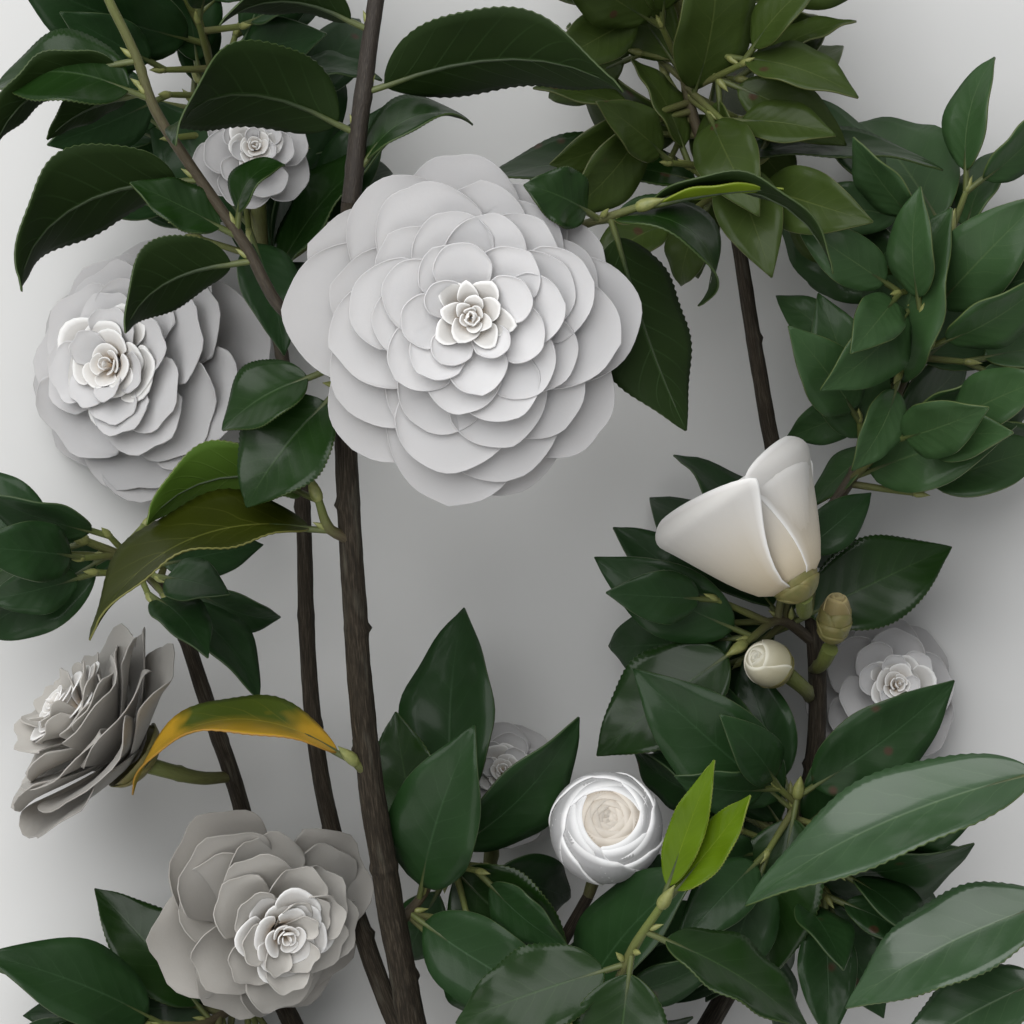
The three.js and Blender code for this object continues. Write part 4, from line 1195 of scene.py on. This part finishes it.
# in each look the rim colour is a painted highlight along the petal edges, and the last colour is a painted
# shade, with a warm tint, towards the petal foot
petalLook = {
    "white": {"base": (0.655, 0.648, 0.652), "rim": (0.93, 0.925, 0.92), "deep": (0.66, 0.61, 0.53)},
    "heart": {"base": (0.76, 0.735, 0.70), "rim": (0.94, 0.93, 0.91), "deep": (0.70, 0.50, 0.29)},
    # the next look is the white petal darkened as painted shade, for the bottom and lower left blooms
    "shaded_white": {"base": (0.50, 0.482, 0.448), "rim": (0.76, 0.75, 0.73), "deep": (0.44, 0.33, 0.21),
              "roughness": 0.52},
    "aged": {"base": (0.88, 0.855, 0.815), "rim": (0.90, 0.885, 0.86), "deep": (0.56, 0.46, 0.30)},
    "whorl": {"base": (0.58, 0.475, 0.36), "rim": (0.74, 0.67, 0.58), "deep": (0.48, 0.34, 0.19)},
    "cream": {"base": (0.74, 0.68, 0.47), "rim": (0.80, 0.77, 0.64), "deep": (0.48, 0.46, 0.18),
              "roughness": 0.48},
    "brown": {"base": (0.34, 0.27, 0.11), "rim": (0.46, 0.38, 0.18), "deep": (0.16, 0.16, 0.05)},
}


def petalRecipe(look):
    def recipe(sheet):
        place = sheet.mark("petalPlace")
        share = sheet.make("ShaderNodeSeparateXYZ", values={0: place})
        across = (share.of("Y") * 2 - 1).size()
        outer = share.atLeast(across)
        # painted highlight: the margin mask lightens each petal's edges to the rim colour, standing in for
        # light caught by the thin edge
        margin = ((outer - 0.78) * 1.5).atLeast(0) + ((outer - 0.93) * 12).atLeast(0)
        drawn = sheet.make("ShaderNodeMapping", values={"Vector": place, "Scale": (2.5, 26, 40)})
        veins = sheet.noise(drawn, 1.0, 3.0, 0.6)
        spot = sheet.spot()
        cells = sheet.noise(spot, 900.0, 1.0)
        # painted shade: each petal darkens towards its foot to the foot colour, where the petals above
        # shade it, with a warm tint
        deep = (1 - share * 1.25).atLeast(0) ** 1.4
        # painted shade: the outer rings of petals are darkened to 0.62 of the base colour, standing in for
        # shade on them
        ring = (share.of("Z") * 1.35).atMost(1)
        face = sheet.mix(ring, times(look["base"], 0.62), look["base"])
        face = sheet.mix(veins * 0.16, face, times(look["base"], 0.6))
        return {
            "Base Color": sheet.mix(margin.atMost(1), sheet.mix(deep, face, look["deep"]), look["rim"]),
            "Roughness": look.get("roughness", 0.5) + veins * 0.08,
            "Subsurface Weight": 0.2, "Subsurface Radius": (1.0, 0.9, 0.82), "Subsurface Scale": 0.0015,
            "Specular IOR Level": 0.3, "Sheen Weight": 0.06,
            "Normal": sheet.bump(veins + cells * 0.4, 0.2, 0.0004),
        }
    return recipe


petalMaterials = {name: material("petal_" + name, petalRecipe(look)) for name, look in petalLook.items()}
petals = petalTree()


def petalRows(bloom, plan, seed):
    dice = random.Random(seed)
    rows = []
    radius, depth = bloom["radius"], bloom["depth"]
    rim = bloom.get("rim", 0.14)
    measured = bloom.get("outer", []) + bloom.get("inner", [])
    for number in range(len(measured) or plan["petals"]):
        share = number / (plan["petals"] - 1)
        span = radius * (1 - 0.9 * share ** 1.3)
        if measured:
            azimuth, reach = measured[number]
        else:
            azimuth = bloom["turn"] + number * goldenAngle + dice.gauss(0, plan["jitter"])
            reach = span * dice.uniform(0.93, 1.0)
        rows.append({
            "azimuth": math.radians(azimuth), "reach": reach,
            "width": reach * (plan["wide"][0] + (plan["wide"][1] - plan["wide"][0]) * share),
            "root": 1 + depth * 0.7 * share,
            "height": depth * (rim + (1.06 - rim) * max(1 - (span / radius) ** 2, 0) ** 0.8),
            "span": span, "cup": plan["bowl"], "ring": share,
            "phase": dice.uniform(0, 6.28),
            "point": plan["point"] * dice.choice((-0.6, 0, 0.5, 1, 1.4)),
            "lean": dice.uniform(-0.05, 0.05),
            "roll": plan["roll"] * dice.uniform(0.4, 1.2), "tilt": plan["tilt"] * dice.uniform(-0.6, 1),
        })
    return rows


def petalPiece(name, bloom, rows, settings, materialMade):
    lengths = ("reach", "width", "root", "height", "span")
    mesh = bpy.data.meshes.new(name)
    mesh.from_pydata([(0, 0, 0)] * len(rows), [], [])
    for label in rows[0]:
        scale = 0.001 if label in lengths else 1
        mark(mesh, label, [row[label] * scale for row in rows])
    piece = grow(name, mesh, petals, {**settings, "Material": materialMade})
    walled(piece, petalBody["thick"], 0)
    plain(piece)
    right, top, axis = bloomFrame(bloom)
    place = Matrix.Translation(Vector(toWorld(bloom["back"]))) @ Matrix(
        [(*pair, 0) for pair in zip(right, top, axis)] + [(0, 0, 0, 1)])
    piece.data.transform(place)
    return piece


def sheetPiece(name, sheets, materialMade, thick):
    # a piece of thin walls, from the points, faces and petal places of its sheets
    vertices, quads, places = sheets
    mesh = bpy.data.meshes.new(name)
    mesh.from_pydata([tuple(point) for point in toWorld(vertices)], [], quads)
    mark(mesh, "petalPlace", places)
    mesh.materials.append(materialMade)
    piece = newPiece(name, mesh)
    walled(piece, thick, -1)
    return plain(piece)


heartPlan = {"petals": 22, "bulge": 1.5, "grid": (12, 14)}
gobletPlan = {"bulge": 0.52, "grid": (18, 22)}


def heartRows(bloom, seed):
    # the standing petals in the heart of a bloom that isn't measured
    dice = random.Random(seed)
    radius, depth = bloom["radius"], bloom["depth"]
    rows = []
    for number in range(heartPlan["petals"]):
        share = number / (heartPlan["petals"] - 1)
        rim = radius * (0.42 - 0.39 * share) * dice.uniform(0.82, 1.12)
        turn, spread = number * goldenAngle + dice.uniform(-22, 22), dice.uniform(26, 44) + 26 * share
        lip = radius * 0.055 * dice.uniform(0.2, 1.4) * (1 - 1.5 * share)
        high = depth * (0.84 + 0.14 * share) * dice.uniform(0.94, 1.04)
        rows.append((turn, spread, 0.25 * rim, rim, lip, depth * (0.5 + 0.3 * share), high))
    return rows


def wrapSheets(bloom, rows, plan):
    # petals that stand round the bloom's axis, with rounded rims that turn out in a lip
    right, top, axis = bloomFrame(bloom)
    steps, columns = plan["grid"]
    vertices, quads, places = [], [], []
    for number, (turn, spread, foot, rim, lip, low, high) in enumerate(rows):
        first = len(vertices)
        for step in range(steps + 1):
            share = 1 - (1 - step / steps) ** 1.6
            for column in range(columns + 1):
                place = math.sin(math.pi * (column / columns - 0.5))
                drop = 0.24 * (1 - math.sqrt(1 - 0.97 * place * place))
                drop += bloom.get("pointed", 0) * abs(place)
                level = share - drop * share * share
                opened = spread * place * (0.62 + 0.38 * math.sin(math.pi / 2 * share))
                angle = math.radians(turn + opened)
                curl = max((level - 0.74) / 0.26, 0) ** 2
                radius = foot + (rim - foot) * level ** plan["bulge"] + lip * curl
                radius *= 1 + 0.035 * share * math.sin(4.3 * place + 1.9 * number) + 0.02 * place
                height = low + (high - low) * (1 - (1 - level) ** 1.5) - 0.3 * lip * curl
                way = right * math.cos(angle) + top * math.sin(angle)
                vertices.append(np.array(bloom["back"]) + way * radius + axis * height)
                places.append((share, (place + 1) / 2, number / len(rows)))
        quads.extend(gridFaces(first, steps, columns))
    return vertices, quads, places


def joinPieces(name, parts):
    # the first piece takes in the others' meshes
    with bpy.context.temp_override(active_object=parts[0], selected_editable_objects=parts):
        bpy.ops.object.join()
    parts[0].name = name
    parts[0].data.name = name
    return parts[0]


for number, (name, bloom) in enumerate(blooms.items()):
    pieceName = name.replace("bloom", "petals")
    if name == "bloom_right":
        goblet = wrapSheets(bloom, bloom["heart"], gobletPlan)
        goblet = sheetPiece(pieceName, goblet, petalMaterials["aged"], petalBody["heart"])
        finish(goblet, "aged_petal", name)
        continue
    plan = petalPlan[name]
    near = name == "bloom_main"
    rows = petalRows(bloom, plan, 70 + number)
    settings = {"Rows": petalBody["rows" if near else "farRows"],
                "Columns": petalBody["columns" if near else "farColumns"],
                "Foot": petalBody["foot"], "Roundness": petalBody["roundness"], "Lip": petalBody["lip"],
                "Ruffle": plan["ruffle"], "Hollow": plan["hollow"], "Reflex": plan["reflex"]}
    # a heart of standing petals takes the place of the innermost ones
    split = len(rows) if near else int(len(rows) * petalBody["flatShare"])
    parts = [petalPiece(name + "_outer", bloom, rows[:split], settings, petalMaterials[plan["look"]])]
    heart = wrapSheets(bloom, bloom.get("heart") or heartRows(bloom, 90 + number), heartPlan)
    parts.append(sheetPiece(name + "_heart", heart, petalMaterials["heart"], petalBody["heart"]))
    finish(joinPieces(pieceName, parts), "petal", name)
print("blooms are grown")


# The half open bloom and the buds: petals that wrap a globe, layer on layer

# each layer has its number of petals, its size, how far they reach over the globe, and its turn
budLayers = {"outer": [(3, 1.0, 150, 0), (3, 0.95, 165, 60)],
             "core": [(3, 0.94, 172, 20), (3, 0.935, 177, 80), (1, 0.93, 180, 0)]}
globePlan = {
    "bloom_half_open": {
        "outer": [(4, 1.0, 122, 10), (4, 0.985, 134, 58), (4, 0.97, 144, 22), (3, 0.955, 150, 75)],
        "core": [(3, 0.94, 155, 30), (3, 0.925, 160, 80), (3, 0.91, 164, 20), (3, 0.895, 168, 75),
                 (3, 0.88, 171, 10), (3, 0.865, 174, 50), (3, 0.855, 177, 0), (1, 0.85, 180, 0)],
        "petal": "white", "inner": "whorl", "sepals": 46},
    "bud_cream": {**budLayers, "petal": "cream", "inner": "cream", "sepals": 76},
    "bud_brown": {**budLayers, "petal": "brown", "inner": "brown", "sepals": 112},
}
globeBody = {"outer": 0.4, "core": 0.3, "grid": (16, 18)}
sepalPlan = {"thick": 0.3, "grid": (7, 8), "dark": (0.10, 0.12, 0.03), "light": (0.24, 0.19, 0.07)}


def sepalRecipe(sheet):
    spot = sheet.spot()
    patches = sheet.noise(spot, 260.0, 3.0, 0.6)
    return {
        "Base Color": sheet.mix(patches, sepalPlan["dark"], sepalPlan["light"]),
        "Roughness": 0.55, "Normal": sheet.bump(patches, 0.3, 0.0005),
    }


def globeSheets(globe, layers, grid, lift=0.0):
    # petals on a globe: each from its foot over the shoulder to a rounded tip
    right, top, axis = bloomFrame(globe)
    radius, depth = globe["radius"] + lift, globe["depth"] + lift
    rows, columns = grid
    vertices, quads, places = [], [], []
    for count, size, reach, turn in layers:
        for number in range(count):
            azimuth = math.radians(turn + 360 * number / count)
            breadth = math.pi / count * 1.75
            first = len(vertices)
            for row in range(rows + 1):
                share = row / rows
                for column in range(columns + 1):
                    place = 2 * column / columns - 1
                    droop = 0.035 if reach < 180 else 0  # the last petal closes the top
                    angle = math.radians(reach) * (share - droop * place * place * share ** 2)
                    spread = breadth * place * math.sin(math.pi * (0.12 + 0.76 * share)) ** 0.6
                    girth = radius * size * math.sin(angle) * (1 + 0.03 * place)
                    height = depth * (0.5 - 0.5 * math.cos(angle) * (0.5 + 0.5 * size))
                    height *= 0.9 + 0.1 * size
                    way = right * math.cos(azimuth + spread) + top * math.sin(azimuth + spread)
                    vertices.append(np.array(globe["back"]) + way * girth + axis * height)
                    places.append((share, (place + 1) / 2, 1 - size))
            quads.extend(gridFaces(first, rows, columns))
    return vertices, quads, places


sepalSheets = ([], [], [])


def addSepals(globe, layers, lift, step):
    # rings of sepals, each a step outside the one before
    for number, layer in enumerate(layers):
        vertices, quads, places = globeSheets(globe, [layer], sepalPlan["grid"], lift + step * number)
        first = len(sepalSheets[0])
        sepalSheets[0].extend(vertices)
        sepalSheets[1].extend(tuple(first + corner for corner in quad) for quad in quads)
        sepalSheets[2].extend(places)


for name, globe in globes.items():
    plan = globePlan[name]
    parts = []
    for part, look in (("outer", plan["petal"]), ("core", plan["inner"])):
        sheets = globeSheets(globe, plan[part], globeBody["grid"])
        parts.append(sheetPiece(f"{name}_{part}", sheets, petalMaterials[look], globeBody[part]))
    finish(joinPieces("petals_" + name.removeprefix("bloom_"), parts),
           "aged_petal" if name == "bud_brown" else "petal", name)
    reach = plan["sepals"]
    rings = [(4, 1.0, reach, 20), (4, 1.0, reach * 0.75, 65), (3, 1.0, reach * 0.5, 0)]
    addSepals(globe, rings, 0.35, 0.35)
for bloom in blooms.values():
    calyx = {**bloom, "radius": bloom["radius"] * 0.3, "depth": bloom["depth"] * 0.5,
             "back": np.array(bloom["back"]) - unit(bloom["faces"]) * 3}
    addSepals(calyx, [(4, 1.0, 78, 0), (4, 1.0, 60, 45)], 0.0, 0.4)
finish(sheetPiece("sepals", sepalSheets, material("sepal", sepalRecipe), sepalPlan["thick"]), "leaf")
print("buds and sepals are grown")


# Floor, light and camera

floorPlan = {"half": 4, "level": -0.0002, "dark": (0.66, 0.66, 0.65), "light": (0.68, 0.68, 0.67)}


def floorRecipe(sheet):
    grain = sheet.noise(sheet.spot(), 40.0, 2.0)
    return {"Base Color": sheet.mix(grain, floorPlan["dark"], floorPlan["light"]), "Roughness": 0.9}


floorMesh = bpy.data.meshes.new("floor")
floorMesh.from_pydata([(x * floorPlan["half"], y * floorPlan["half"], floorPlan["level"])
                       for x, y in ((-1, -1), (1, -1), (1, 1), (-1, 1))], [], [(0, 1, 2, 3)])
floorMesh.materials.append(material("floor", floorRecipe))
newPiece("floor", floorMesh)

world = bpy.data.worlds.new("soft_sky")
world.use_nodes = True
sky = Sheet(world.node_tree)
world.node_tree.nodes.clear()
skyPlan = {"Color": (0.97, 0.98, 1.0, 1), "Strength": 0.34}
skyLight = sky.make("ShaderNodeBackground", values=skyPlan)
sky.make("ShaderNodeOutputWorld", values={"Surface": skyLight})
bpy.context.scene.world = world

lightAim = Vector((0, 0, 0.08))
lights = {
    "sky_panel": {"place": (-0.5, 0.8, 1.35), "size": 1.9, "power": 29.5, "colour": (1.0, 1.0, 1.0)},
    "fill_panel": {"place": (-0.5, -0.9, 1.2), "size": 1.2, "power": 5, "colour": (1.0, 0.98, 0.95)},
}
for name, light in lights.items():
    data = bpy.data.lights.new(name, "AREA")
    data.shape = "DISK"
    data.size = light["size"]
    data.energy = light["power"]
    data.color = light["colour"]
    lamp = newPiece(name, data)
    lamp.location = light["place"]
    lamp.rotation_euler = (lightAim - lamp.location).to_track_quat("-Z", "Y").to_euler()

# its height is above the source's own zero, in line with its Z
cameraPlan = {"height": 1150, "lens": 140.6, "sensor": 36, "nearest": 0.01}
camera = newPiece("camera", bpy.data.cameras.new("camera"))
camera.data.lens = cameraPlan["lens"]
camera.data.sensor_width = cameraPlan["sensor"]
camera.location = toWorld((0, 0, cameraPlan["height"]))
camera.data.clip_start = cameraPlan["nearest"]
bpy.context.scene.camera = camera
bpy.context.scene.view_settings.view_transform = "Standard"
